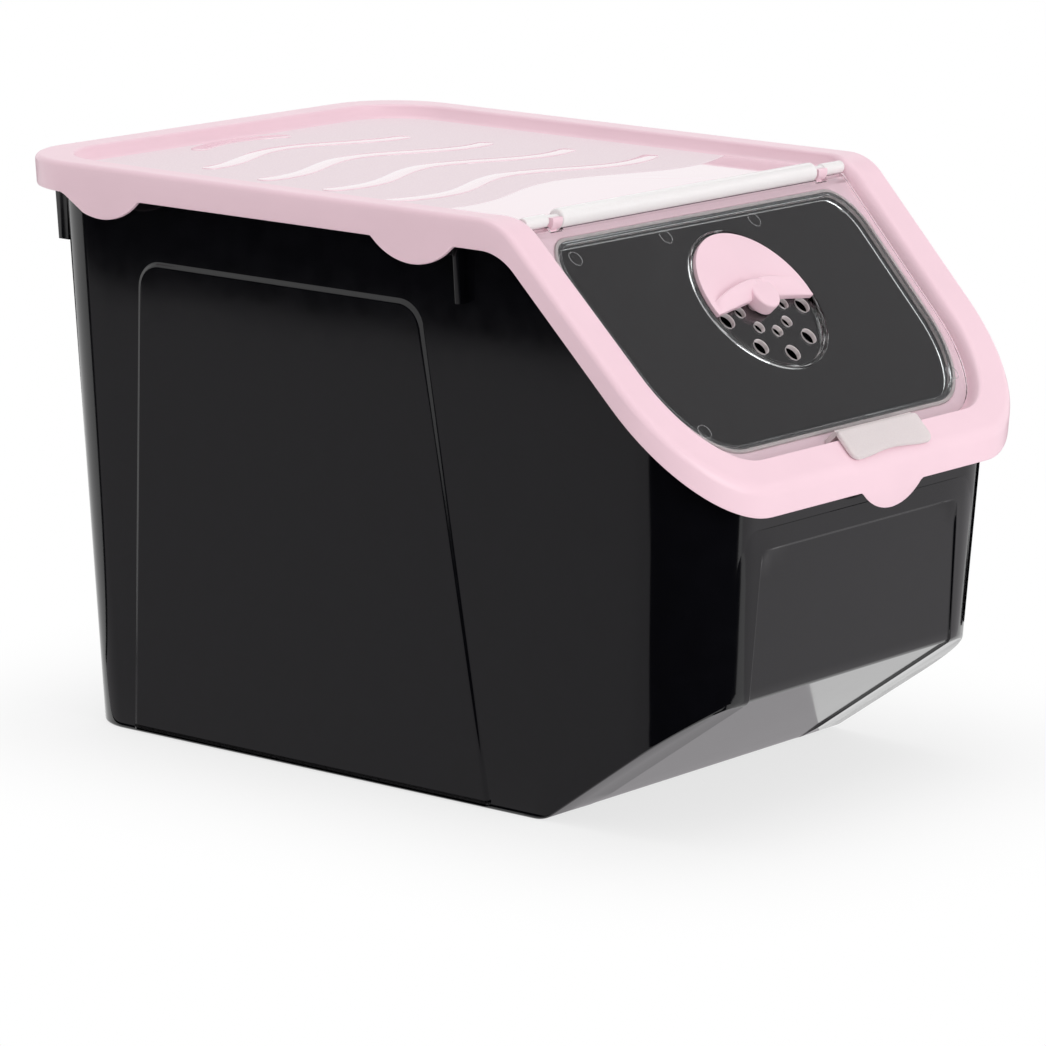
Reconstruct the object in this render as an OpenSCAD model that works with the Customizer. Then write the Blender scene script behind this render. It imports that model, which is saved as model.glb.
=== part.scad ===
// Slant-front storage bin: a drafted tub, a lift-off lid with a hinged clear
// flap over the sloping front, a rotating vent dial in the flap and two seals.
// Millimetres. X runs across the bin, the front looks along -Y and Z is up.
// The origin is on the floor under the middle of the lid.

/* [Overall] */
// Height with the lid on
bin_h = 240; // [225:1:260]
// Width of the lid at its top
lid_w = 248; // [238:1:262]
// Depth of the lid
lid_d = 358; // [346:1:372]
// Lean of every side wall from upright, in degrees
draft = 2.9; // [2.2:0.1:3.4]
// Plan radius of the lid's front corners
lid_front_r = 47; // [42:1:50]
// Plan radius of the lid's back corners
lid_back_r = 36.5; // [35:0.5:44]
// Level run of the sloping front, from the bend to the front edge
slope_run = 96; // [92:1:100]
// Fall of the sloping front from level, in degrees
slope = 45.6; // [44:0.2:47]
// Radius of the bend between the level and the sloping part
bend_r = 23; // [16:1:28]

/* [Lid] */
// Wall of the lid
lid_wall = 2.2; // [1.8:0.1:2.6]
// Height of the skirt, measured straight down
skirt_h = 12.7; // [11.6:0.1:15]
// Rounding of the lid's outer edge
edge_r = 4; // [2:0.5:6]
// Width of the raised rim round the level panel
rim_w = 13; // [12.6:0.1:15]
// Depth of the panel below the rim
recess = 5.7; // [4.5:0.1:6.2]
// Corner radius of the panel
panel_r = 31; // [24:1:33]
// Width of a lift tab on the skirt
tab_w = 42; // [30:1:55]
// Drop of a lift tab below the skirt
tab_drop = 9; // [6:0.5:13]
// Middle of the rear side tabs, from the back of the lid
tab_rear = 55.5; // [45:0.5:90]
// Middle of the front side tabs, behind the bend
tab_front = 43.5; // [34:0.5:80]
// Shift of the front tab and the finger tab to the right of the middle
tab_shift = 7; // [0:0.5:10]

/* [Wavy ribs] */
// Distance from the bend back to the front rib
wave_first = 88; // [75:1:95]
// Distance from the back of the lid to the last long rib
wave_last = 57.6; // [52:0.2:70]
// Distance from the back of the lid to the short rib
wave_rear = 28; // [25.5:0.5:32]
// Length of one wave
wave_length = 121; // [90:1:150]
// Rise of a wave to either side of its line
wave_rise = 8; // [3:0.5:9]
// Width of a rib
rib_w = 3.4; // [2:0.2:5]
// Height of a rib
rib_h = 0.8; // [0.4:0.1:1.4]
// Half the length of each long rib, front to back
rib_half = [87, 80, 74, 65];
// Half the length of the short rib
rib_short = 30; // [20:1:40]

/* [Flap] */
// Width of the rim beside the flap's recess, at the bend
side_rim = 17.5; // [16:0.5:21]
// Narrowing of each side per millimetre down the slope
flap_taper = 0.05; // [0.04:0.01:0.07]
// Width of the rim in front of the flap's recess
front_rim = 14; // [12.8:0.1:17.5]
// Radius of the recess's lower corners, seen from above
flap_r = 40; // [36:1:42]
// Depth of the flap's face below the rim
flap_drop = 4.7; // [4.2:0.1:4.9]
// Thickness of the flap
flap_t = 2.5; // [2:0.1:2.6]
// Step from the recess's side in to the window
window_in = 10.8; // [9:0.1:11.5]
// Upper edge of the window, down the slope
window_top = 10.5; // [10.3:0.1:16]
// Step from the recess's lower edge up to the window
window_low = 5.8; // [5.6:0.1:13]
// Radius of the window's lower corners, seen from above
window_r = 30; // [26:1:32]
// Radius of the window's upper corners, seen from above
window_top_r = 17; // [12:1:22]
// Depth of the downstand round the window
downstand = 5; // [3:0.5:7]
// Width of the finger tab
finger_w = 52; // [36:1:64]
// Reach of the finger tab past the recess
finger_l = 12; // [8:0.5:13]
// Thickness of the finger tab
finger_t = 2.5; // [1.8:0.1:3]

/* [Hinge] */
// Hinge axis, down the slope from the bend
hinge_s = 0.9; // [0.5:0.1:1.5]
// Depth of the hinge axis below the slope
hinge_t = 4.8; // [4.4:0.1:5.2]
// Radius of the hinge barrel
barrel_r = 4; // [3.4:0.1:4.2]
// Middle of a lug, in from the recess's side
lug_in = 18.3; // [17:0.1:28]
// Thickness of a lug on the lid
lug_t = 6; // [5:0.5:7.5]
// Radius of a hinge pin
pin_r = 2; // [1.6:0.1:2.4]
// Wall round the outer end of a hinge pin
stub_wall = 0.6; // [0.4:0.1:1]

/* [Vent] */
// Middle of the vent, down the slope from the bend
vent_s = 53.5; // [48:0.5:60]
// Inner radius of the vent cup
vent_r = 32; // [28:0.5:33]
// Wall of the vent cup
vent_wall = 1.8; // [1.2:0.1:2.4]
// Depth of the cup's floor below the flap's face
vent_deep = 3.7; // [3.4:0.1:5]
// Thickness of the cup's floor
vent_floor = 2; // [1.5:0.1:3]
// Pitch radius and hole radius of the outer holes
vent_outer = [25.8, 3.5];
// Pitch radius and hole radius of the inner holes
vent_inner = [14.8, 2.5];
// Holes in each row
vent_holes = 5; // [3:1:5]
// Angle between holes, in degrees
vent_step = 38.5; // [30:0.5:38.5]
// Thickness of the dial
dial_t = 1.8; // [1.4:0.1:2.1]
// Height of the dial's grip
grip_h = 2.6; // [1.5:0.1:3]
// Radius of the dial's hub
hub_r = 8.5; // [7:0.5:10]
// Radius of the dial's pivot
pivot_r = 2.5; // [2:0.1:3]

/* [Body] */
// Wall of the tub
body_wall = 2.5; // [2:0.1:2.8]
// Reach of the lid past the tub's sides
overhang = 12.4; // [12:0.1:13]
// Reach of the lid past the tub's back
overhang_back = 11.4; // [11:0.1:13]
// Reach of the lid past the tub's front
overhang_front = 9.4; // [9.2:0.1:10]
// Length of the sloping underside in front of the base
under_run = 73; // [60:1:85]
// Height at which the underside meets the front wall
under_rise = 55; // [45:1:62]
// Radius between base and underside
under_r = 14; // [6:1:24]
// Height that the wall panels stand proud
panel_step = 0.9; // [0.5:0.1:1.4]
// Top of the side panels
side_panel_z = 201.5; // [150:0.5:204]
// Top of the front panel
front_panel_z = 115; // [90:0.5:118]
// Half width of the front panel at its top
front_panel_hw = 67; // [45:1:68]
// Widening of each side of the front panel down to the base
front_panel_out = 5; // [3:1:12]
// Front edge of a side panel at its top, from the tub's front
side_panel_front = 129; // [110:1:150]
// Back edge of a side panel at its top, from the tub's back
side_panel_back = 41; // [36:1:60]
// Widening of a side panel down to the base, at its front and its back
side_panel_out = [30, 12];
// Middle of the side fins, behind the bend
fin_back = 27; // [20:1:60]
// Thickness of a nesting fin
fin_t = 3; // [2:0.5:5]
// Height of a nesting fin below the flange
fin_h = 28; // [15:1:30]

/* [Seals and clearances] */
// Thickness of the lid's seal
seal_t = 2.4; // [2:0.1:2.8]
// Width of the lid's seal
seal_w = 4.6; // [3.6:0.1:4.8]
// Thickness of the tub's lip
lip_t = 2.4; // [1.8:0.1:2.8]
// Width of the flap's seal
flap_seal_w = 2.2; // [1.6:0.1:2.6]
// Height of the flap's seal
flap_seal_h = 2.4; // [1.6:0.1:3]
// Gap between the flap and its recess
flap_gap = 0.7; // [0.5:0.1:1]
// Gap under pieces that rest on each other
rest_gap = 0.3; // [0.2:0.05:0.4]
// Radial clearance of a pin in its bore
fit_gap = 0.05; // [0.02:0.01:0.1]
// Gap round a piece that turns
turn_gap = 0.6; // [0.4:0.1:0.9]

/* [Hidden] */
$fn = 64;

pink = "#F3D3DE";
black = "#121215";
clear = "#D5E2E8";
grey = "#8C8C92";

far = 300;
lean = tan(draft);
grow = bin_h * lean;

// Lid outline on the floor, below the one at its top
lid_hw0 = lid_w / 2 - grow;
front_fall = slope_run * tan(slope);
lid_back = lid_d / 2;
lid_front = -lid_d / 2 - front_fall * lean;
bend_y = slope_run - lid_d / 2;
level_d = lid_d - slope_run;
wave_pitch = (level_d - wave_first - wave_last) / (len(rib_half) - 1);

// Tub outline on the floor
body_hw0 = lid_hw0 - overhang;
body_back0 = lid_back - grow - overhang_back;
body_front0 = lid_front + grow + overhang_front;
body_r = [lid_front_r - overhang, lid_back_r - overhang];

// Rim levels, as depths below the lid's top, level and on the slope
seal_top = lid_wall;
lip_top = seal_top + seal_t + rest_gap;
flange_level = recess + lid_wall + turn_gap;
flange_slope = flange_level - 2;
lip_out = overhang_front - lid_wall - 1.4;
seal_mid = lip_out - lip_t / 2;

// Flap's recess and window, on the slope
flap_hw = lid_w / 2 - side_rim;
flap_s = slope_run / cos(slope) - front_rim;
window_hw = flap_hw - window_in;
window_end = flap_s - window_low;

// Flap levels, as depths below the slope
flap_under = flap_drop + flap_t;
ledge = flap_under + rest_gap;
cup_floor = flap_drop + vent_deep;
dial_top = cup_floor - 1 - dial_t;
hinge_y = bend_y - hinge_s * cos(slope) + hinge_t * sin(slope);
hinge_z = bin_h - hinge_s * sin(slope) - hinge_t * cos(slope);
trough_r = barrel_r + turn_gap + rest_gap;
lug_gap = (lug_t + 1.4) / 2;
lug_x = flap_hw - lug_in;
barrel_l = 2 * (lug_x - lug_gap);

// Geometry helpers

// Unit vector along v.
function unit(v) = v / norm(v);

// Arc of radius r that rounds the corner p between a and b.
function corner(a, p, b, r, n) =
    let (u = unit(a - p), v = unit(b - p), half = acos(u * v) / 2)
    let (c = p + unit(u + v) * r / sin(half), from = p + u * r / tan(half) - c, to = p + v * r / tan(half) - c)
    let (a0 = atan2(from[1], from[0]), turn = (atan2(to[1], to[0]) - a0 + 540) % 360 - 180)
    [for (i = [0:n]) c + r * [cos(a0 + turn * i / n), sin(a0 + turn * i / n)]];

// Closed outline with its corners rounded by r, one radius or a list of them.
function rounded(p, r, n = 9) =
    let (m = len(p))
    [for (i = [0:m - 1]) each corner(p[(i + m - 1) % m], p[i], p[(i + 1) % m], is_list(r) ? r[i] : r, n)];

// Rectangle from half width, front and back, with front and back radii.
function plan(hw, front, back, r) =
    rounded([[hw, front], [hw, back], [-hw, back], [-hw, front]], [r[0], r[1], r[1], r[0]]);

// Tapering outline on the slope between two distances down it, its corners round when seen from above.
function slope_outline(hw, s0, s1, low_r, top_r = 1) =
    let (k = cos(slope), x0 = hw - flap_taper * s0, x1 = hw - flap_taper * s1)
    let (p = [[x1, -s1 * k], [x0, -s0 * k], [-x0, -s0 * k], [-x1, -s1 * k]])
    [for (q = rounded(p, [low_r, top_r, top_r, low_r])) [q[0], q[1] / k]];

// Corner radii on the floor that grow to r at the lid's top.
function floor_r(r) = r * lid_hw0 / (lid_hw0 + grow);

// Height of the slope at y, at depth t below it.
function slope_z(y, t) = bin_h - t / cos(slope) - (bend_y - y) * tan(slope);

// Line of the lid's top seen from the side, at depth tl on the level part and ts on the slope.
function top_line(tl, ts, n = 6) =
    let (r = max(bend_r - (tl + ts) / 2, 4), y = bend_y - (tl - ts / cos(slope)) / tan(slope))
    let (c = [y + r * tan(slope / 2), bin_h - tl - r])
    concat([[far, bin_h - tl]], [for (i = [0:n]) c + r * [cos(90 + slope * i / n), sin(90 + slope * i / n)]],
        [[-far, slope_z(-far, ts)]]);

// Upright outline extruded across the bin.
module across(points) {
    rotate([90, 0, 90]) linear_extrude(height = 2 * far, center = true) polygon(points);
}

// Everything below the top line at the given depths.
module under(tl, ts) {
    across(concat(top_line(tl, ts), [[-far, -far], [far, -far]]));
}

// Space between two depths below the top line.
module between(upper, lower) {
    difference() {
        under(upper[0], upper[1]);
        under(lower[0], lower[1]);
    }
}

// Drafted block that stands on the floor, from its outline there.
module drafted(hw, front, back, r) {
    hd = (back - front) / 2;
    translate([0, (front + back) / 2, 0])
        linear_extrude(height = bin_h, scale = [(hw + grow) / hw, (hd + grow) / hd], slices = 1)
            polygon(plan(hw, -hd, hd, r));
}

// Block of the lid's outline, drawn in by i.
module lid_block(i) {
    drafted(lid_hw0 - i, lid_front + grow + i, lid_back - grow - i, floor_r([lid_front_r - i, lid_back_r - i]));
}

// Block of the tub's outline, let out by o.
module body_block(o) {
    drafted(body_hw0 + o, body_front0 - o, body_back0 + o, floor_r([body_r[0] + o, body_r[1] + o]));
}

// Frame of the slope: local y runs up the slope, local z out of it.
module on_slope() {
    translate([0, bend_y, bin_h]) rotate([slope, 0, 0]) children();
}

// Plate on the slope between two depths.
module slope_plate(points, t0, t1) {
    translate([0, 0, -t1]) linear_extrude(height = t1 - t0) polygon(points);
}

// Rod across the bin, centred on the hinge axis of the slope's frame.
module hinge_rod(r, l) {
    translate([0, -hinge_s, -hinge_t]) rotate([0, 90, 0]) cylinder(r = r, h = l, center = true);
}

// Tub

// Side view of the tub, drawn in by w.
function tub_side(w) =
    let (front = body_front0 - under_rise * lean, edge = body_front0 + under_run)
    let (fall = atan2(under_rise, edge - front), y = edge + w * tan(fall / 2))
    rounded([[far, w], [y, w], [-far, w + (far + y) * tan(fall)], [-far, far + bin_h], [far, far + bin_h]],
        under_r);

// Tub block in a side view drawn in by w, cut along its rim.
module tub(w) {
    intersection() {
        body_block(-w);
        across(tub_side(w));
    }
}

// Outlines of the raised panels: side seen along X, front seen along Y.
function side_panel() =
    let (front = body_front0 + side_panel_front, back = body_back0 - side_panel_back)
    rounded([[front - side_panel_out[0], -20], [back + side_panel_out[1], -20], [back, side_panel_z],
        [front, side_panel_z]], 12);
function front_panel() =
    let (low = front_panel_hw + front_panel_out)
    rounded([[-low, -20], [low, -20], [front_panel_hw, front_panel_z], [-front_panel_hw, front_panel_z]], 9);

module raised_panels() {
    intersection() {
        body_block(panel_step);
        union() {
            intersection() {
                across(tub_side(0));
                across(side_panel());
            }
            intersection() {
                across(tub_side(-panel_step));
                rotate([90, 0, 0]) linear_extrude(height = far) polygon(front_panel());
                translate([-far, -far, 0]) cube([2 * far, 2 * far, bin_h]);
            }
        }
    }
}

// Fins under the flange that stop stacked tubs from jamming.
module nesting_fins() {
    low = bin_h - flange_level - fin_h;
    intersection() {
        body_block(lip_out);
        translate([0, 0, low]) union() {
            translate([-far, bend_y + fin_back - fin_t / 2, 0]) cube([2 * far, fin_t, fin_h]);
            for (x = [-1, 1]) translate([x * (body_hw0 + 1) - fin_t / 2, 0, 0]) cube([fin_t, far, fin_h]);
        }
    }
}

module bin_body() {
    color(black) difference() {
        union() {
            intersection() {
                tub(0);
                under(flange_level, flange_slope);
            }
            raised_panels();
            nesting_fins();
            intersection() {
                body_block(lip_out);
                between([flange_level, flange_slope], [flange_level + lid_wall, flange_slope + lid_wall]);
            }
            difference() {
                intersection() {
                    body_block(lip_out);
                    between([lip_top, lip_top], [flange_level + 1, flange_slope + 1]);
                }
                body_block(lip_out - lip_t);
            }
        }
        tub(body_wall);
    }
}

// Lid

// Solid outer form of the lid with a rounded outer edge.
module lid_blank() {
    difference() {
        hull() for (a = [0:30:90]) intersection() {
            lid_block(edge_r * (1 - cos(a)));
            under(edge_r * (1 - sin(a)), edge_r * (1 - sin(a)));
        }
        translate([0, 0, -skirt_h]) under(0, 0);
    }
}

// Level panel outline, let out by o.
module level_panel(o, z0, z1) {
    hw = lid_w / 2 - rim_w + o;
    translate([0, 0, z0]) linear_extrude(height = z1 - z0)
        polygon(plan(hw, hinge_y - 40, lid_back - rim_w + o, [panel_r + o, panel_r + o]));
}

// Walls and floors under the level panel, the flap's ledge and the hinge.
module lid_trays() {
    intersection() {
        under(edge_r / 2, edge_r / 2);
        union() {
            intersection() {
                level_panel(lid_wall, bin_h - recess - lid_wall, bin_h);
                translate([-far, hinge_y, 0]) cube([2 * far, far, far]);
            }
            on_slope() slope_plate(slope_outline(flap_hw + lid_wall, -40, flap_s + lid_wall, flap_r + lid_wall),
                0, ledge + lid_wall);
            on_slope() hinge_rod(trough_r + lid_wall, 2 * flap_hw);
        }
    }
}

// Lobed lift tabs under the skirt.
module lift_tabs() {
    r = (tab_w * tab_w / 4 + tab_drop * tab_drop) / (2 * tab_drop);
    intersection() {
        difference() {
            lid_block(0);
            lid_block(lid_wall);
        }
        union() {
            for (y = [lid_back - tab_rear, bend_y + tab_front])
                translate([0, y, bin_h - skirt_h - tab_drop + r])
                    rotate([0, 90, 0]) cylinder(r = r, h = 2 * far, center = true);
            translate([tab_shift, 0, bin_h - front_fall - skirt_h - tab_drop + r])
                rotate([90, 0, 0]) cylinder(r = r, h = far);
        }
        translate([0, 0, -skirt_h + 1]) under(0, 0);
    }
}

// One wavy rib of half length l, standing on the panel.
module wavy_rib(l) {
    n = 26;
    function wave(x) = wave_rise * cos(360 * x / wave_length);
    function half(x) = rib_w / 2 * sqrt(max(1 - pow(abs(x) / l, 6), 0.02));
    linear_extrude(height = rib_h + 0.5) polygon(concat(
        [for (i = [0:n]) let (x = -l + 2 * l * i / n) [x, wave(x) - half(x)]],
        [for (i = [n:-1:0]) let (x = -l + 2 * l * i / n) [x, wave(x) + half(x)]]));
}

// Snap hooks that hold the flap's hinge pins.
module hinge_lugs() {
    for (side = [-1, 1]) translate([side * lug_x - lug_t / 2, hinge_y, hinge_z]) difference() {
        rotate([90, 0, 90]) union() {
            cylinder(r = barrel_r, h = lug_t);
            linear_extrude(height = lug_t)
                polygon([[-1, 0], [-1, -trough_r - 1], [trough_r + 1, -trough_r - 1], [trough_r + 1, -1],
                    [barrel_r, 0]]);
        }
        translate([-1, 0, 0]) rotate([0, 90, 0]) cylinder(r = pin_r + fit_gap, h = lug_t + 2);
        translate([-1, -far, pin_r * 0.65]) cube([lug_t + 2, 2 * far, far]);
    }
}

module lid_frame() {
    color(pink) union() {
        difference() {
            union() {
                difference() {
                    lid_blank();
                    intersection() {
                        lid_block(lid_wall);
                        under(lid_wall, lid_wall);
                    }
                }
                lid_trays();
                lift_tabs();
            }
            intersection() {
                level_panel(0, bin_h - recess, far);
                translate([-far, hinge_y, 0]) cube([2 * far, far, far]);
            }
            on_slope() slope_plate(slope_outline(flap_hw, -26, flap_s, flap_r), -far, ledge);
            on_slope() slope_plate(window_outline(flap_seal_w + rest_gap), 0, far);
            on_slope() hinge_rod(trough_r, 2 * flap_hw - 0.6);
        }
        hinge_lugs();
        translate([0, bend_y + wave_first, bin_h - recess - 0.5]) {
            for (i = [0:len(rib_half) - 1]) translate([0, i * wave_pitch, 0]) wavy_rib(rib_half[i]);
            translate([0, level_d - wave_first - wave_rear, 0]) wavy_rib(rib_short);
        }
    }
}

module lid_seal() {
    color(grey) intersection() {
        difference() {
            body_block(seal_mid + seal_w / 2);
            body_block(seal_mid - seal_w / 2);
        }
        between([seal_top, seal_top], [seal_top + seal_t, seal_top + seal_t]);
    }
}

// Flap

// Outline of the flap's downstand, let out by o.
function window_outline(o) =
    slope_outline(window_hw + o, window_top - o, window_end + o, window_r + o, window_top_r + o);

// Finger tab: a step up from the flap's edge and a lip over the front rim.
module finger_tab() {
    s1 = flap_s + finger_l;
    edge = flap_s - flap_gap;
    top = rest_gap + finger_t;
    slope_plate(rounded([[-finger_w / 2, -edge + 2.4], [-finger_w / 2, -s1], [-finger_w / 6, -s1 + 2],
        [finger_w / 6, -s1 + 2], [finger_w / 2, -s1], [finger_w / 2, -edge + 2.4]], 1.2), -top, -rest_gap);
    translate([-finger_w / 2, -edge, -flap_under]) cube([finger_w, 2.4, flap_under + rest_gap + finger_t / 2]);
}

// Cup of the vent with its rows of holes and pivot boss.
module vent_cup() {
    translate([0, -vent_s, 0]) difference() {
        union() {
            translate([0, 0, -cup_floor - vent_floor]) cylinder(r = vent_r + vent_wall, h = vent_floor);
            difference() {
                translate([0, 0, -cup_floor - 0.5]) cylinder(r = vent_r + vent_wall, h = vent_deep + 1);
                translate([0, 0, -cup_floor - 1]) cylinder(r = vent_r, h = vent_deep + 3);
            }
            translate([0, 0, -cup_floor - 0.5]) cylinder(r = 2 * pivot_r, h = 1.5 - fit_gap);
        }
        translate([0, 0, -cup_floor - vent_floor - 1]) cylinder(r = pivot_r + fit_gap, h = 2 * vent_floor + 2);
        for (row = [vent_outer, vent_inner], i = [0:vent_holes - 1])
            rotate([0, 0, -90 + (i - (vent_holes - 1) / 2) * vent_step])
                translate([row[0], 0, -cup_floor - vent_floor - 1]) cylinder(r = row[1], h = vent_floor + 2);
    }
}

module flap() {
    hw = flap_hw - flap_gap;
    color(clear, 0.4) on_slope() union() {
        difference() {
            union() {
                slope_plate(slope_outline(hw, hinge_s - 30, flap_s - flap_gap, flap_r), flap_drop, flap_under);
                slope_plate(window_outline(0), flap_under - 0.5, flap_under + downstand);
            }
            slope_plate(window_outline(-2), flap_under, flap_under + downstand + 1);
            translate([-far, -hinge_s, -far]) cube([2 * far, far, 2 * far]);
            for (side = [-1, 1]) translate([side * lug_x - lug_gap, -trough_r - 3, -far])
                cube([2 * lug_gap, far, 2 * far]);
            translate([0, -vent_s, -far]) cylinder(r = vent_r + vent_wall / 2, h = 2 * far);
        }
        hinge_rod(barrel_r, barrel_l);
        intersection() {
            hinge_rod(pin_r + stub_wall, 2 * (hw - flap_taper * hinge_s));
            for (side = [-1, 1]) translate([side * (lug_x + lug_gap + 20), 0, 0])
                cube([40, far, far], center = true);
        }
        hinge_rod(pin_r, barrel_l + 4 * lug_gap + 2);
        vent_cup();
        translate([tab_shift, 0, 0]) finger_tab();
    }
}

module flap_seal() {
    color(grey) on_slope() difference() {
        slope_plate(window_outline(flap_seal_w), flap_under, flap_under + flap_seal_h);
        slope_plate(window_outline(0), flap_under - 1, flap_under + flap_seal_h + 1);
    }
}

// Half disc with a lower edge that drops a little towards its ends.
module dial_outline() {
    r = vent_r - turn_gap;
    intersection() {
        circle(r = r);
        polygon([[-2 * r, -8], [-hub_r, -1], [hub_r, -1], [2 * r, -8], [2 * r, 2 * r], [-2 * r, 2 * r]]);
    }
    circle(r = hub_r);
}

module vent_dial() {
    arch_r = 76;
    arch = 7.6;
    color(pink) on_slope() translate([0, -vent_s, 0]) union() {
        translate([0, 0, -dial_top - dial_t]) linear_extrude(height = dial_t) dial_outline();
        translate([0, 0, -dial_top - dial_t / 2]) linear_extrude(height = grip_h + dial_t / 2) difference() {
            intersection() {
                dial_outline();
                translate([0, arch - arch_r]) circle(r = arch_r, $fn = 180);
            }
            translate([0, arch + 0.4]) circle(r = 1.6);
        }
        difference() {
            union() {
                translate([0, 0, -cup_floor - vent_floor - rest_gap - 1])
                    cylinder(r = pivot_r, h = 3 + vent_floor);
                translate([0, 0, -cup_floor - vent_floor - rest_gap - 2])
                    cylinder(r1 = pivot_r - 0.4, r2 = pivot_r + 0.8, h = 2);
            }
            translate([-0.6, -2 * pivot_r, -cup_floor - vent_floor - 4])
                cube([1.2, 4 * pivot_r, vent_floor + 3.5]);
        }
    }
}

bin_body();
lid_frame();
lid_seal();
flap();
flap_seal();
vent_dial();
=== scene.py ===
# %% [markdown]
# # A slant-front storage bin
# The bin is a black tub with a pale pink lid. A clear flap lies in the sloping
# front of the lid, and a small dial in the flap opens a ring of vents. Every
# size below is in millimetres, as on a mould drawing, and is turned to metres
# once, where a mesh is made.

# %% Load the frame
import math
import bmesh
import bpy
import numpy as np
from mathutils import Matrix, Vector
from mathutils.geometry import delaunay_2d_cdt


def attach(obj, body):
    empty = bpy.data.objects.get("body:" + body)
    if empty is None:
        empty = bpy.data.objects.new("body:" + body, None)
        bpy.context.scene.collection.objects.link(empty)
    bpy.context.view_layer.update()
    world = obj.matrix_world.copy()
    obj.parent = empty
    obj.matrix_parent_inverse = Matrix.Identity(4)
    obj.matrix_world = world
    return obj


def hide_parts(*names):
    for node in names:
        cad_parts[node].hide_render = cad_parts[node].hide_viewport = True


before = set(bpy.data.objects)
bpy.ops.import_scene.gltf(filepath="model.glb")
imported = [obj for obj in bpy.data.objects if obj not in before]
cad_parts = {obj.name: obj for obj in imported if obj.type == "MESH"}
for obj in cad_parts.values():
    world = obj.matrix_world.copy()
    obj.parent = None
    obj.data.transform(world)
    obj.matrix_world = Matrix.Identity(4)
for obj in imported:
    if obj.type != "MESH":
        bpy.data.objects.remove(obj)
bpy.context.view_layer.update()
MM = 0.001

# %% [markdown]
# ## From grids of points to meshes
# A moulded wall is a sheet that runs round the part, so most pieces here are
# grids: one direction goes round an outline, the other follows the section of
# the wall. A grid of points needs only a rule for its quads. Sections that
# close on themselves give closed walls, as a real moulding has.


# %% Grids and closed pads
def grid_quads(rows, cols, wrap_rows=False, wrap_cols=False):
    """Quads between neighbours on a rows x cols grid; wrapping joins the last row or column to the first."""
    r = np.arange(rows if wrap_rows else rows - 1)[:, None]
    c = np.arange(cols if wrap_cols else cols - 1)[None, :]
    r2, c2 = (r + 1) % rows, (c + 1) % cols
    corners = (r * cols + c, r * cols + c2, r2 * cols + c2, r2 * cols + c)
    return np.stack(np.broadcast_arrays(*corners), -1).reshape(-1, 4)


def sheet(points, wrap_rows=False, wrap_cols=False, caps=False):
    """Points on a grid and the faces over them; caps close the first and last row with one flat face each."""
    rows, cols = points.shape[:2]
    faces = grid_quads(rows, cols, wrap_rows, wrap_cols).tolist()
    if caps:
        faces += [list(range(cols))[::-1], list(range((rows - 1) * cols, rows * cols))]
    return points.reshape(-1, 3), faces


def outward(loop):
    """Unit normals of a closed plane loop, square to the line between each point's neighbours."""
    along = np.roll(loop, -1, 0) - np.roll(loop, 1, 0)
    side = np.stack([along[:, 1], -along[:, 0]], 1)
    area = np.sum(loop[:, 0] * np.roll(loop[:, 1], -1) - loop[:, 1] * np.roll(loop[:, 0], -1))
    return side / np.linalg.norm(side, axis=1, keepdims=True) * np.sign(area)


def pad(loop, section, place):
    """Closed block over a plane outline: the loop drawn in by each inset at that height, then capped."""
    n = outward(loop)
    rows = [np.c_[loop - n * inset, np.full(len(loop), height)] for inset, height in section]
    return sheet(place(np.array(rows)), wrap_cols=True, caps=True)


print("a grid of 3 by 4 points has", len(grid_quads(3, 4)), "quads")

# %% [markdown]
# ## Slabs with holes and rounded edges
# A flat plate with holes is not one grid. Its outer and inner walls are grids,
# and its two faces are filled with triangles between the loops. A rounded edge
# is a quarter circle, written as pairs of inset and height, so one section can
# serve a pad, a plate or a pin.


# %% Slabs with holes
def circle(r, n=72, x=0.0, y=0.0):
    """Closed loop of n points at distance r from a middle."""
    a = np.linspace(0, 2 * math.pi, n, endpoint=False)
    return np.stack([x + r * np.cos(a), y + r * np.sin(a)], 1)


def fill(loops):
    """Triangles between closed plane loops: those whose middle a ray leaves across an odd number of edges."""
    p = np.concatenate(loops)
    starts = np.cumsum([0] + [len(loop) for loop in loops[:-1]])
    ends = [np.stack([np.arange(len(q)), np.roll(np.arange(len(q)), -1)], 1) + s for q, s in zip(loops, starts)]
    edges = np.concatenate(ends)
    _, _, faces, source, _, _ = delaunay_2d_cdt([Vector(v) for v in p], edges.tolist(), [], 0, 1e-7)
    tri = np.array([[source[i][0] for i in f] for f in faces])
    mid, a, b = p[tri].mean(1)[:, None], p[edges[:, 0]], p[edges[:, 1]]
    rise = np.where(np.abs(b[:, 1] - a[:, 1]) < 1e-12, 1e-12, b[:, 1] - a[:, 1])
    hit = ((a[:, 1] > mid[..., 1]) != (b[:, 1] > mid[..., 1])) & (
        mid[..., 0] < a[:, 0] + (mid[..., 1] - a[:, 1]) * (b[:, 0] - a[:, 0]) / rise)
    return tri[hit.sum(1) % 2 == 1].tolist()


def plate(outline, holes, section, place, hole_slot=0):
    """Closed slab with holes: its outline drawn in and its holes let out by each inset of the section."""
    loops = [(outline, 1)] + [(hole, -1) for hole in holes]
    grids = [np.array([np.c_[q - outward(q) * inset * sign, np.full(len(q), h)] for inset, h in section])
             for q, sign in loops]
    parts = [(*sheet(place(g), wrap_cols=True), hole_slot if k else 0) for k, g in enumerate(grids)]
    for row in (0, -1):
        level = [g[row] for g in grids]
        parts.append((place(np.concatenate(level)), fill([q[:, :2] for q in level])))
    return parts


def round_edge(bottom, top, radius, steps=4):
    """Section of a block with a square bottom edge and a top edge rounded by a quarter circle."""
    a = np.linspace(0, math.pi / 2, steps + 1)
    arc = np.stack([radius * (1 - np.cos(a)), top - radius + radius * np.sin(a)], 1)
    return [(0.0, bottom)] + arc.tolist()


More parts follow.
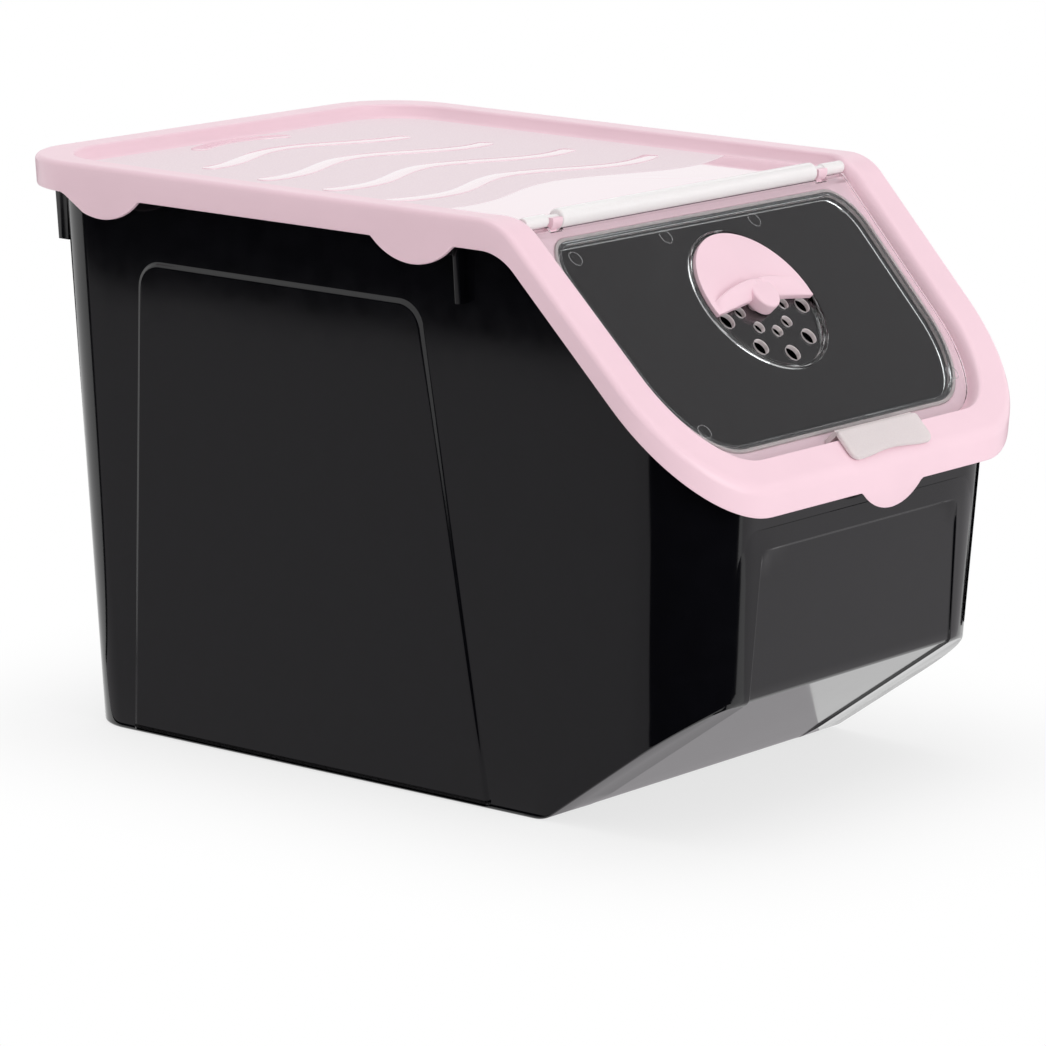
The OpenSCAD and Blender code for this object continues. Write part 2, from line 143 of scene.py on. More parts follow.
def both_edges(bottom, top, radius, steps=4):
    """Section of a block with its bottom and top edges rounded alike."""
    upper = round_edge(bottom, top, radius, steps)[1:]
    lower = [(inset, bottom + top - height) for inset, height in upper[::-1]]
    return lower + upper


print("rounded edge", np.round(round_edge(0.0, 2.0, 0.5, 2), 2).tolist())

# %% [markdown]
# ## From parts to one moulding
# A moulded piece is one object. Its parts go into one mesh, points that fall
# together are welded, faces are turned outwards, and an edge stays sharp only
# where the surface turns by more than a given angle. The piece is then given
# its moving body and its material slots, and the solids from model.glb that it
# stands for are hidden.


# %% One object from its parts
def moulding(name, parts, materials, body, replaces=(), sharp=38.0):
    """One object from several grids: points welded, faces turned outwards, smooth up to the sharp angle."""
    counts = np.cumsum([0] + [len(part[0]) for part in parts])
    points = np.concatenate([part[0] for part in parts]) * MM
    faces = [[i + start for i in f] for part, start in zip(parts, counts) for f in part[1]]
    slots = np.concatenate([np.full(len(part[1]), part[2] if len(part) > 2 else 0) for part in parts])
    mesh = bpy.data.meshes.new(name)
    mesh.from_pydata(points.tolist(), [], faces)
    mesh.polygons.foreach_set("material_index", slots.astype(np.int32))
    bm = bmesh.new()
    bm.from_mesh(mesh)
    bmesh.ops.remove_doubles(bm, verts=bm.verts, dist=2e-6)
    bmesh.ops.dissolve_degenerate(bm, edges=bm.edges, dist=1e-7)
    bmesh.ops.recalc_face_normals(bm, faces=bm.faces)
    bm.to_mesh(mesh)
    bm.free()
    mesh.shade_smooth()
    mesh.set_sharp_from_angle(angle=math.radians(sharp))
    for m in materials:
        mesh.materials.append(m)
    piece = bpy.data.objects.new(name, mesh)
    bpy.context.scene.collection.objects.link(piece)
    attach(piece, body)
    if replaces:
        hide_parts(*replaces)
    print(name, len(mesh.vertices), "points", len(mesh.polygons), "faces")


print("a mesh unit is", round(1 / MM), "mm")

# %% [markdown]
# ## Colours and shader nodes
# Colours are written as they look on screen and turned to linear light once.
# One small function adds a shader node, sets its values and links its inputs,
# so each material below reads as a list of what the plastic does.


# %% Colour and node helpers
def linear(hex_code):
    """Linear RGBA from an sRGB hex colour: each channel through the sRGB curve."""
    c = np.array([int(hex_code[i:i + 2], 16) for i in (1, 3, 5)]) / 255
    return (*np.where(c <= 0.04045, c / 12.92, ((c + 0.055) / 1.055) ** 2.4).tolist(), 1.0)


def add(tree, kind, settings=None, **inputs):
    """Adds a node: settings are its own properties; an input takes a socket to link or a value to set."""
    n = tree.nodes.new(kind)
    for key, value in (settings or {}).items():
        setattr(n, key, value)
    for key, value in inputs.items():
        numbered = key[0] == "i" and key[1:].isdigit()
        socket = n.inputs[int(key[1:]) if numbered else key.replace("_", " ")]
        if isinstance(value, bpy.types.NodeSocket):
            tree.links.new(value, socket)
        else:
            socket.default_value = value
    return n


def new_material(name):
    """Empty node material, with its tree."""
    m = bpy.data.materials.new(name)
    m.use_nodes = True
    m.node_tree.nodes.clear()
    return m, m.node_tree


def surfaced(m, shader):
    """The material, with the shader as its surface."""
    add(m.node_tree, "ShaderNodeOutputMaterial", Surface=shader.outputs[0])
    return m


print("mid grey", [round(v, 3) for v in linear("#808080")])

# %% [markdown]
# ## Pale pink polypropylene
# The lid is injection-moulded polypropylene in a satin finish. The mould is
# lightly grained, so highlights spread, and the skin carries a faint flow
# mottle. The level panel was spark-eroded in the mould behind a wavy line and
# polished in front of it, so its material changes gloss and grain at that
# line, which is a cosine of the piece's own coordinates. Behind the line its
# pink is also drawn paler and greyer: a painted sheen, the glancing reflection
# put into its colour. The real grain is too fine to show in a picture of the
# whole bin, so it is drawn coarser.

# %% Pink plastic, satin, polished and eroded
PINK = "#F4D2DD"
GRAIN, ERODED_GRAIN = 0.5 * MM, 0.8 * MM
MOTTLE = 28 * MM
PP_IOR = 1.49
LINE_Y, LINE_RISE, LINE_WAVE = -20 * MM, 8 * MM, 142 * MM


def pink_plastic(name, roughness, grain_height, mottle=0.05, polish=0.0):
    """Satin polypropylene: mottled colour, fine grain as bump, roughness that varies a little."""
    m, tree = new_material(name)
    where = add(tree, "ShaderNodeTexCoord").outputs["Object"]
    flow = add(tree, "ShaderNodeTexNoise", Vector=where, Scale=1 / MOTTLE, Detail=2.0)
    grain = add(tree, "ShaderNodeTexNoise", Vector=where, Scale=1 / GRAIN, Detail=1.0)
    base = np.array(linear(PINK))
    low, high = base * (1 - mottle), base * (1 + mottle * 0.4)
    low[3] = high[3] = 1
    ramp = add(tree, "ShaderNodeMix", {"data_type": "RGBA"}, Factor=flow.outputs["Fac"],
               i6=low.tolist(), i7=high.tolist())
    gloss = add(tree, "ShaderNodeMapRange", Value=grain.outputs["Fac"],
                To_Min=roughness * 0.85, To_Max=roughness * 1.15)
    bump = add(tree, "ShaderNodeBump", Height=grain.outputs["Fac"], Strength=grain_height, Distance=0.05 * MM)
    shader = add(tree, "ShaderNodeBsdfPrincipled", Base_Color=ramp.outputs[2], Roughness=gloss.outputs["Result"],
                 IOR=PP_IOR, Coat_Weight=polish, Coat_Roughness=0.03, Normal=bump.outputs["Normal"])
    return surfaced(m, shader)


def eroded_sheen_plastic(name):
    """Level panel: grainy, dull and paler behind the line y = line_y + rise cos(2 pi x / wave), polished in front;
    the paler pink is painted sheen.
    """
    m, tree = new_material(name)
    where = add(tree, "ShaderNodeTexCoord").outputs["Object"]
    place = add(tree, "ShaderNodeSeparateXYZ", Vector=where)
    turn = add(tree, "ShaderNodeMath", {"operation": "MULTIPLY"}, i0=place.outputs["X"], i1=2 * math.pi / LINE_WAVE)
    wave = add(tree, "ShaderNodeMath", {"operation": "COSINE"}, i0=turn.outputs[0])
    line = add(tree, "ShaderNodeMath", {"operation": "MULTIPLY_ADD"}, i0=wave.outputs[0], i1=-LINE_RISE,
               i2=place.outputs["Y"])
    behind = add(tree, "ShaderNodeMapRange", Value=line.outputs[0],
                 From_Min=LINE_Y - 0.3 * MM, From_Max=LINE_Y + 0.3 * MM).outputs["Result"]
    grain = add(tree, "ShaderNodeTexNoise", Vector=where, Scale=1 / ERODED_GRAIN, Detail=2.0)
    # Behind the line the pink is drawn paler and greyer: painted sheen, the glancing reflection put into the colour;
    # the speckle between the two tones follows the grain.
    grain_and_sheen = add(tree, "ShaderNodeMix", {"data_type": "RGBA"}, Factor=grain.outputs["Fac"],
                i6=linear("#E6D3DA"), i7=linear("#F8EBEF"))
    tint = add(tree, "ShaderNodeMix", {"data_type": "RGBA"}, Factor=behind, i6=linear(PINK), i7=grain_and_sheen.outputs[2])
    gloss = add(tree, "ShaderNodeMapRange", Value=behind, To_Min=0.07, To_Max=0.60)
    shine = add(tree, "ShaderNodeMapRange", Value=behind, To_Min=0.5, To_Max=0.2)
    depth = add(tree, "ShaderNodeMapRange", Value=behind, To_Min=0.0, To_Max=0.35)
    skin = add(tree, "ShaderNodeMapRange", Value=behind, To_Min=1.0, To_Max=0.0)
    bump = add(tree, "ShaderNodeBump", Height=grain.outputs["Fac"], Strength=depth.outputs["Result"],
               Distance=0.1 * MM)
    shader = add(tree, "ShaderNodeBsdfPrincipled", Base_Color=tint.outputs[2], Roughness=gloss.outputs["Result"],
                 IOR=PP_IOR, Specular_IOR_Level=shine.outputs["Result"],
                 Coat_Weight=skin.outputs["Result"], Coat_Roughness=0.03, Normal=bump.outputs["Normal"])
    return surfaced(m, shader)


satin_pink = pink_plastic("polypropylene_pink_satin", 0.34, 0.25)
polished_pink = pink_plastic("polypropylene_pink_polished", 0.06, 0.02, 0.02, 1.0)
eroded_sheen_pink = eroded_sheen_plastic("polypropylene_pink_eroded_sheen")
print(satin_pink.name, polished_pink.name, eroded_sheen_pink.name)

# %% [markdown]
# ## Gloss black polypropylene
# The tub comes from a polished mould, so it mirrors the room, but no moulded
# wall is a perfect mirror. A slow ripple, a few hundredths of a millimetre
# over hand-wide waves, bends the reflections, and a thin haze of handling
# marks breaks up the gloss.

# %% Black plastic
BLACK = ("#060608", "#0B0B0F")
RIPPLE = 70 * MM
HAZE = 9 * MM


def black_plastic(name):
    """Polished black polypropylene: slow ripple as bump, faint haze in the roughness and colour."""
    m, tree = new_material(name)
    where = add(tree, "ShaderNodeTexCoord").outputs["Object"]
    slow = add(tree, "ShaderNodeTexNoise", Vector=where, Scale=1 / RIPPLE, Detail=1.0)
    haze = add(tree, "ShaderNodeTexNoise", Vector=where, Scale=1 / HAZE, Detail=4.0)
    tint = add(tree, "ShaderNodeMix", {"data_type": "RGBA"}, Factor=haze.outputs["Fac"],
               i6=linear(BLACK[0]), i7=linear(BLACK[1]))
    gloss = add(tree, "ShaderNodeMapRange", Value=haze.outputs["Fac"], To_Min=0.06, To_Max=0.13)
    bump = add(tree, "ShaderNodeBump", Height=slow.outputs["Fac"], Strength=0.12, Distance=1.0 * MM)
    shader = add(tree, "ShaderNodeBsdfPrincipled", Base_Color=tint.outputs[2], Roughness=gloss.outputs["Result"],
                 IOR=PP_IOR, Normal=bump.outputs["Normal"])
    return surfaced(m, shader)


gloss_black = black_plastic("polypropylene_black_gloss")
print(gloss_black.name)

# %% [markdown]
# ## Clear polystyrene and grey silicone
# The flap is clear polystyrene: it bends light more than polypropylene and
# shows a bright line at every edge. Lamp light would be lost in a bending
# material, so rays that only carry light pass straight through. The finger
# tab and the walls of the vent holes were blasted in the mould and look milky.
# The thick hinge barrel and its pins are clear, but they are drawn milky white:
# a painted highlight for the light that the barrel gathers. The flap's seal is
# translucent silicone and the lid's is matte and grey. Their speckle is drawn
# coarser than it is, so that it shows.

# %% Clear, frosted and silicone
MARKS, SPECKLE, DUST = 6 * MM, 0.7 * MM, 1.5 * MM


def clear_plastic(name):
    """Clear polystyrene: full transmission with faint handling marks; shadow and diffuse rays pass unbent."""
    m, tree = new_material(name)
    where = add(tree, "ShaderNodeTexCoord").outputs["Object"]
    marks = add(tree, "ShaderNodeTexNoise", Vector=where, Scale=1 / MARKS, Detail=3.0)
    faint = add(tree, "ShaderNodeMapRange", Value=marks.outputs["Fac"], To_Min=0.0, To_Max=0.03)
    shader = add(tree, "ShaderNodeBsdfPrincipled", Base_Color=linear("#F8FAFA"), Roughness=faint.outputs["Result"],
                 IOR=1.5, Transmission_Weight=1.0)
    path = add(tree, "ShaderNodeLightPath")
    light = add(tree, "ShaderNodeMath", {"operation": "MAXIMUM"},
                i0=path.outputs["Is Shadow Ray"], i1=path.outputs["Is Diffuse Ray"])
    through = add(tree, "ShaderNodeBsdfTransparent", Color=linear("#FAFAFA"))
    both = add(tree, "ShaderNodeMixShader", Fac=light.outputs[0], i1=shader.outputs[0], i2=through.outputs[0])
    return surfaced(m, both)


def frosted_plastic(name, roughness, through, low="#EFE3E4", high="#F9F1F1"):
    """Milky polystyrene or silicone: some light passes, the rest scatters at the skin, with a fine speckle."""
    m, tree = new_material(name)
    where = add(tree, "ShaderNodeTexCoord").outputs["Object"]
    speckle = add(tree, "ShaderNodeTexNoise", Vector=where, Scale=1 / SPECKLE, Detail=2.0)
    tint = add(tree, "ShaderNodeMix", {"data_type": "RGBA"}, Factor=speckle.outputs["Fac"],
               i6=linear(low), i7=linear(high))
    shader = add(tree, "ShaderNodeBsdfPrincipled", Base_Color=tint.outputs[2], Roughness=roughness, IOR=1.45,
                 Transmission_Weight=through)
    return surfaced(m, shader)


def grey_silicone(name):
    """Matte silicone: grey with a fine speckle of dust."""
    m, tree = new_material(name)
    where = add(tree, "ShaderNodeTexCoord").outputs["Object"]
    dust = add(tree, "ShaderNodeTexNoise", Vector=where, Scale=1 / DUST, Detail=2.0)
    tint = add(tree, "ShaderNodeMix", {"data_type": "RGBA"}, Factor=dust.outputs["Fac"],
               i6=linear("#77777B"), i7=linear("#8E8E92"))
    shader = add(tree, "ShaderNodeBsdfPrincipled", Base_Color=tint.outputs[2], Roughness=0.62, IOR=1.41)
    return surfaced(m, shader)


clear_ps = clear_plastic("polystyrene_clear")
frosted_ps = frosted_plastic("polystyrene_frosted", 0.38, 0.3)
# The barrel's milky white is a painted highlight: clear plastic drawn white for the light it gathers.
barrel_highlight_ps = frosted_plastic("polystyrene_barrel_painted_highlight", 0.12, 0.1, "#F6F1F1", "#FDFBFB")
seal_silicone = frosted_plastic("silicone_translucent", 0.5, 0.6)
silicone = grey_silicone("silicone_grey")
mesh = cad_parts["lid_seal"].data
mesh.materials.clear()
mesh.materials.append(silicone)
print(clear_ps.name, frosted_ps.name, barrel_highlight_ps.name, seal_silicone.name, silicone.name)

# %% [markdown]
# ## The lid's outline and its bent top
# Seen from above the lid is a rectangle with round corners. Its walls lean out
# by about one in twenty, as a moulding needs to leave its mould. Its top is a
# flat sheet bent once, level at the back and falling steeply at the front, so
# a point on it is best given by x, by the distance s along the sheet from the
# bend and by the depth t below it.

# %% Outline and bend
BEND_Y, TOP, SLOPE = -83.0, 240.0, math.radians(45.6)
LEAN = math.tan(math.radians(2.9))
BEND_R = 23.0
LID_HW, LID_FRONT, LID_BACK, LID_R = 124.0, -179.0 - 96.0 * math.tan(SLOPE) * LEAN, 179.0, (47.0, 36.5)
N_FRONT, N_CORNER, N_BACK = 52, 22, 12
TANGENT = BEND_R * math.tan(SLOPE / 2)


def bent(x, s, t):
    """Point of the bent sheet: level before the bend, an arc across it, then down the slope; t goes inwards."""
    turn = SLOPE * np.clip((s + TANGENT) / (2 * TANGENT), 0, 1)
    y = BEND_Y + TANGENT - BEND_R * np.sin(turn) - np.minimum(s + TANGENT, 0)
    z = TOP - BEND_R + BEND_R * np.cos(turn)
    run = np.maximum(s - TANGENT, 0)
    y, z = y - run * math.cos(SLOPE), z - run * math.sin(SLOPE)
    return np.stack(np.broadcast_arrays(x, y + t * np.sin(turn), z - t * np.cos(turn)), -1)


def top_height(y, t):
    """Height of the bent sheet, at depth t, above a point y of the floor."""
    r = max(BEND_R - t, 4.0)
    cy = BEND_Y - (t - t / math.cos(SLOPE)) / math.tan(SLOPE) + r * math.tan(SLOPE / 2)
    cz = TOP - t - r
    fall = TOP - t / math.cos(SLOPE) - (BEND_Y - y) * math.tan(SLOPE)
    arc = cz + np.sqrt(np.maximum(r * r - (y - cy) ** 2, 0))
    return np.where(y > cy, TOP - t, np.where(y < cy - r * math.sin(SLOPE), fall, arc))


# Stations along the right side, as s on the outer edge; the recess finds the matching s on its own edge.
S_SIDE = np.concatenate([np.arange(72, 22, -2.0), np.arange(22, -22, -1.0), np.arange(-22, -217, -1.25)])
OUTER_Y = bent(0.0, S_SIDE, 0.0)[:, 1]


def plan_loop(hw, front, back, r, share):
    """Rectangle with front and back radii r, counter-clockwise from mid-front; share spaces the sides."""
    a = np.linspace(0, math.pi / 2, N_CORNER + 1)
    rf, rb = r
    fx = np.linspace(0, hw - rf, N_FRONT, endpoint=False)
    bx = np.linspace(hw - rb, 0, N_BACK + 1)[1:]
    side = front + rf + share * (back - front - rf - rb)
    x = np.concatenate([fx, hw - rf + rf * np.sin(a), np.full(len(side), hw), hw - rb + rb * np.cos(a), bx])
    y = np.concatenate([np.full(N_FRONT, front), front + rf - rf * np.cos(a), side,
                        back - rb + rb * np.sin(a), np.full(N_BACK, back)])
    return np.concatenate([x, -x[-2:0:-1]]), np.concatenate([y, y[-2:0:-1]])


SHARE = (OUTER_Y - (LID_FRONT + LID_R[0])) / (LID_BACK - LID_FRONT - sum(LID_R))
N_LOOP = len(plan_loop(1, -1, 1, (0.5, 0.5), SHARE)[0])


def drafted(hw, front, back, r, z):
    """Loop of a leaning block at height z: its outline at the top, drawn in by the lean about its middle."""
    fall = TOP * LEAN
    hw0, hd0, mid = hw - fall, (back - front) / 2 - fall, (back + front) / 2
    x, y = plan_loop(hw0, mid - hd0, mid + hd0, np.array(r) * (LID_HW - fall) / LID_HW, SHARE)
    return x * (1 + z * LEAN / hw0), mid + (y - mid) * (1 + z * LEAN / hd0)


def ring(inset, height, hw=LID_HW, front=LID_FRONT, back=LID_BACK, r=LID_R):
    """Loop on a leaning block, drawn in by inset, whose height depends on place: repeated until it settles."""
    z = np.full(N_LOOP, TOP)
    for _ in range(8):
        x, y = drafted(hw - inset, front + inset, back - inset, np.array(r) - inset, z)
        z = height(x, y)
    return np.stack([x, y, z], 1)


print("loop of", N_LOOP, "points; front edge at", ring(0, lambda x, y: top_height(y, 0))[0].round(2))

# %% [markdown]
# ## The skirt's edge and the recess's outline
# The skirt hangs down in lobed lift tabs: each is an arc of a circle that eases
# into the straight edge. The recess in the lid's top has the level panel's edge
# at the back and the flap's on the slope. The flap's corners are circles when
# seen from above, so on the slope they stretch to ellipses.

# %% Skirt edge and recess outline
EDGE_R, SKIRT, WALL = 2.4, 12.7, 2.2
TAB_W, TAB_DROP, TAB_SHIFT = 41.0, 9.1, 7.0
TAB_R = (TAB_W ** 2 / 4 + TAB_DROP ** 2) / (2 * TAB_DROP)
SIDE_TABS, FLAP_HW, TAPER, FLAP_S, FLAP_R = (123.5, -39.5), 106.5, 0.05, 123.2, 34.0
PANEL_HW, PANEL_BACK, PANEL_R, RECESS, LEDGE = 111.0, 166.0, 31.0, 5.7, 7.5
FLAT = math.cos(SLOPE)


def lobe(d):
    """Drop of a lift tab at distance d from its middle: a circle's arc, met by the skirt's straight edge."""
    arc = np.sqrt(np.maximum(TAB_R ** 2 - d ** 2, 0)) - TAB_R + TAB_DROP
    return 0.5 * (arc + np.sqrt(arc ** 2 + 0.12)) * (np.abs(d) < TAB_W)


def skirt_foot(x, y):
    """Lower edge of the skirt: a fixed drop below the top, deeper at the side tabs and the front tab."""
    side = (np.abs(x) > 80) & (y > -75)
    drop = sum(np.where(side, lobe(y - c), 0) for c in SIDE_TABS)
    drop = drop + np.where(y < -150, lobe(x - TAB_SHIFT), 0)
    return top_height(y, 0) - SKIRT - drop


def level_share(s):
    """1 on the level part, 0 on the slope, eased across the hinge."""
    q = np.clip((2 - s) / 16, 0, 1)
    return q * q * (3 - 2 * q)


def recess_edge(level_o, side_o, front_o):
    """Recess outline as x and s, let out on the level part, at the slope's sides and at its front."""
    r, tilt = FLAP_R + (side_o + front_o) / 2, math.atan(TAPER / FLAT)
    yc = (FLAP_S + front_o) * FLAT - r
    xc = FLAP_HW + side_o - TAPER / FLAT * yc - r / math.cos(tilt)
    a = np.linspace(0, math.pi / 2 - tilt, N_CORNER + 1)
    cx, cs = xc + r * np.sin(a), (yc + r * np.cos(a)) / FLAT
    fx = np.linspace(0, xc, N_FRONT, endpoint=False)
    s = np.where(S_SIDE > 30, 30 + (S_SIDE - 30) * (cs[-1] - 32) / 42, S_SIDE)
    level = level_share(s)
    sx = (FLAP_HW - TAPER * s + side_o) * (1 - level) + (PANEL_HW + level_o) * level
    rb = PANEL_R + level_o
    b = np.linspace(0, math.pi / 2, N_CORNER + 1)
    end = BEND_Y - (PANEL_BACK + level_o)
    bx = np.linspace(PANEL_HW - PANEL_R, 0, N_BACK + 1)[1:]
    x = np.concatenate([fx, cx, sx, PANEL_HW + level_o - rb + rb * np.cos(b), bx])
    q = np.concatenate([np.full(N_FRONT, FLAP_S + front_o), cs, s, end + rb - rb * np.sin(b),
                        np.full(N_BACK, end)])
    return np.concatenate([x, -x[-2:0:-1]]), np.concatenate([q, q[-2:0:-1]])


print("lift tab radius", round(TAB_R, 1), "mm; recess of", len(recess_edge(0, 0, 0)[0]), "points")

# %% [markdown]
# ## The lid's rim
# The rim is one hollow band: the skirt, a rounded outer edge, a flat top and a
# wall that bows down into the recess. Its section is carried round the lid as
# rows with the same number of points. The outer rows follow the lid's plan and
# the inner ones the recess, and the flat top blends one into the other.


# %% Rim
def along_sheet(p):
    """Distance s of points that lie on the bent sheet: level by y, slope by depth, arc by its angle."""
    y, z = p[:, 1], p[:, 2]
    turn = np.arctan2(BEND_Y + TANGENT - y, z - TOP + BEND_R)
    arc = turn / SLOPE * 2 * TANGENT - TANGENT
    return np.where(y > BEND_Y + TANGENT, BEND_Y - y, np.where(turn > SLOPE, (TOP - z) / math.sin(SLOPE), arc))


def wall_row(level_o, level_t, side_o, front_o, slope_t):
    """Row of the recess wall: an outline let out by o, its depth easing from the level part's to the slope's."""
    x, s = recess_edge(level_o, side_o, front_o)
    w = level_share(s)
    return bent(x, s, level_t * w + slope_t * (1 - w))


edge = np.radians(np.arange(0, 91, 15))
outer = [ring(0.9, skirt_foot), ring(0.25, lambda x, y: skirt_foot(x, y) + 0.25)]
outer += [ring(0, lambda x, y: skirt_foot(x, y) + 1.0)]
outer += [ring(0, lambda x, y, t=t: top_height(y, t)) for t in (8.0, 5.5)]
outer += [ring(EDGE_R * (1 - math.cos(a)), lambda x, y, t=EDGE_R * (1 - math.sin(a)): top_height(y, t))
          for a in edge]
crown = outer[-1]
inner_x, inner_s = recess_edge(1.6, 2.65, 1.4)
flat = [bent(crown[:, 0] * (1 - w) + inner_x * w, along_sheet(crown) * (1 - w) + inner_s * w, 0.0)
        for w in (0.08, 0.3, 0.55, 0.8, 0.97)]
bow = [(1 - math.sin(a), 1 - math.cos(a)) for a in np.radians((0, 12, 24, 36, 48, 60, 75, 90))]
turn_in = [wall_row(1.6 * u, 1.6 * v, 3.55 * u - 0.9, 0.4 + u, 6.6 * v) for u, v in bow]
foot = [wall_row(-1.6, RECESS - 1.2, -0.95, 0.05, LEDGE - 0.4), wall_row(-2.0, RECESS - 0.5, -1.0, 0, LEDGE),
        wall_row(-3.2, RECESS, -1.0, 0, LEDGE + 0.4)]
under = [wall_row(-3.2, RECESS + WALL, -1.0, 0, LEDGE + WALL),
         wall_row(WALL - 1.2, RECESS + WALL, WALL, WALL, LEDGE + WALL),
         wall_row(WALL, WALL + 0.8, WALL + 0.4, WALL + 0.4, WALL + 0.8),
         wall_row(WALL + 0.8, WALL, WALL + 1.2, WALL + 1.2, WALL)]
under += [ring(EDGE_R + 1.2, lambda x, y: top_height(y, WALL)),
          ring(WALL, lambda x, y: top_height(y, WALL + 1.6)),
          ring(WALL, lambda x, y: skirt_foot(x, y) + 0.6), ring(WALL - 0.5, skirt_foot)]
rim_rows = np.array(outer + flat + turn_in + foot + under)
rim = sheet(rim_rows, wrap_rows=True, wrap_cols=True)
print("rim rows", len(rim_rows))

# %% [markdown]
# ## The recessed panel, the hinge trough and the flap's ledge
# Behind the hinge the recess has a level floor; at the hinge it dips into a
# half-round trough for the barrel, and then it climbs to the ledge that the
# flap lies on. That side view, top and underside, is carried across the lid.
# The ledge runs on round the window as a flat ring.

# %% Floor, trough and ledge
BEND = np.array([0, BEND_Y, TOP])
DOWN = np.array([0, -math.cos(SLOPE), -math.sin(SLOPE)])
OUT = np.array([0, -math.sin(SLOPE), math.cos(SLOPE)])
HINGE_T, HOOK_X = 4.8, 88.2
HINGE = BEND + 0.9 * DOWN - HINGE_T * OUT
TROUGH_R, FLOOR_Z = 4.9, TOP - RECESS
WINDOW_HW, WINDOW_TOP, WINDOW_END, WINDOW_R, WINDOW_TOP_R = 100.6, 10.8, 115.4, 31.0, 13.0


def on_slope(x, s, t):
    """Point on the sloping part from x, distance s below the bend and depth t under the slope."""
    return np.stack(np.broadcast_arrays(x, *(BEND[k] + s * DOWN[k] - t * OUT[k] for k in (1, 2))), -1)


def floor_section():
    """Side view of the floor as y and z: level, trough arc and a short ledge; then its underside, one wall lower."""
    rows = []
    for r, drop in ((TROUGH_R, 0.0), (TROUGH_R + WALL, WALL)):
        a0 = math.asin((FLOOR_Z - drop - HINGE[2]) / r)
        a = np.linspace(a0, -math.pi + math.asin((LEDGE - HINGE_T + drop) / r) + SLOPE, 22)
        arc = np.stack([HINGE[1] + r * np.cos(a), HINGE[2] + r * np.sin(a)], 1)
        y = np.concatenate([np.linspace(PANEL_BACK - 0.2, PANEL_BACK - PANEL_R, 14),
                            np.linspace(130, -60, 20), [-72.0]])
        level = np.stack([y, np.full(len(y), FLOOR_Z - drop)], 1)
        lip = on_slope(0.0, np.array([7.9]), LEDGE + drop)[:, 1:]
        rows.append(np.concatenate([level, arc, lip]))
    return rows


upper, lower = floor_section()
back_r = PANEL_R - 1.0
into = np.clip((upper[:, 0] - (PANEL_BACK - PANEL_R)) / back_r, 0, 1)
half = np.where(upper[:, 0] > -66, PANEL_HW - 1.2, FLAP_HW + 1.7) - back_r * (1 - np.sqrt(1 - into ** 2))
across = np.linspace(-1, 1, 25)
sides = [np.stack(np.broadcast_arrays(half[:, None] * a, side[:, :1], side[:, 1:]), -1)
         for side, a in ((upper, across), (lower, across[::-1]))]
floor = (*sheet(np.concatenate(sides, 1), wrap_cols=True, caps=True), 1)


def slope_loop(hw, s0, s1, low_r, top_r, n=14):
    """Tapering outline on the slope as x and -s, its corners circles seen from above; counter-clockwise."""
    lean = TAPER / FLAT
    tilt = math.atan(lean)
    low, high = -s1 * FLAT + low_r, -s0 * FLAT - top_r
    rows = []
    for v, r, a0, a1 in ((low, low_r, -math.pi / 2, -tilt), (high, top_r, -tilt, math.pi / 2)):
        a = np.linspace(a0, a1, n + 1)
        x = hw + lean * v - r / math.cos(tilt)
        rows.append(np.stack([x + r * np.cos(a), (v + r * np.sin(a)) / FLAT], 1))
    right = np.concatenate(rows)
    return np.concatenate([right, right[::-1] * (-1, 1)])


def window_loop(o):
    """Outline of the window, let out by o."""
    return slope_loop(WINDOW_HW + o, WINDOW_TOP - o, WINDOW_END + o, WINDOW_R + o, WINDOW_TOP_R + o)


def slope_place(p):
    """Local x, distance up the slope and height above it, carried to the bin's frame."""
    return on_slope(p[..., 0], -p[..., 1], -p[..., 2])


cut = window_loop(1.6)
rest = slope_loop(FLAP_HW + 0.8, 6.0, FLAP_S + 0.8, FLAP_R + 0.8, 1.0)
ledge_rows = [(rest, -LEDGE), (cut + (rest - cut) * 0.12, -LEDGE), (cut, -LEDGE - 0.6), (cut, -LEDGE - WALL),
              (rest, -LEDGE - WALL)]
ledge_grid = np.array([np.c_[loop, np.full(len(loop), h)] for loop, h in ledge_rows])
ledge = sheet(slope_place(ledge_grid), wrap_rows=True, wrap_cols=True)


def hook_outline():
    """Snap hook from the side, as y and z about the hinge: a cup for the pin, open at its top, on a foot."""
    r, bore, top = 4.0, 2.05, 1.3
    a = np.linspace(math.asin(top / r), 0, 5)
    b = np.linspace(-math.pi + math.acos(1 / r), -math.pi - math.asin(top / r), 12)
    c = np.linspace(math.pi - math.asin(top / bore), 2 * math.pi + math.asin(top / bore), 24)
    base = np.array([[5.6, -1.2], [5.6, -5.6], [-1.0, -5.6]])
    arcs = [np.stack([q * np.cos(k), q * np.sin(k)], 1) for q, k in ((r, a), (r, b), (bore, c))]
    return np.concatenate([arcs[0], base, arcs[1], arcs[2]])


def hinge_at(x):
    """Places an outline about the hinge axis; its height runs along x from the given place."""
    return lambda p: np.stack([x + p[..., 2], HINGE[1] + p[..., 0], HINGE[2] + p[..., 1]], -1)


hooks = [pad(hook_outline(), [(0.0, -3.0), (0.0, 3.0)], hinge_at(x)) for x in (-HOOK_X, HOOK_X)]
moulding("lid_shell", [rim, floor, ledge] + hooks, [satin_pink, eroded_sheen_pink], "lid", ("lid_frame",))

# %% [markdown]
# ## Wavy ribs
# Five polished ribs stand on the eroded panel and run across it in waves. Each
# is a low bead with a flat top, soft edges and round ends, carried along a
# cosine. Polished and level, the tops mirror the bright studio and read as
# white lines.

# %% Ribs
RIB_W, RIB_H, WAVE, RISE = 7.6, 0.3, 121.0, 8.0
# Each rib: the place y of its wave, its reach to either side, and its shift in x.
RIBS = [(5.0, 87.0, 0.7), (43.8, 80.0, -2.2), (82.6, 74.0, -5.2), (121.4, 65.0, -5.5), (151.0, 30.0, -3.5)]


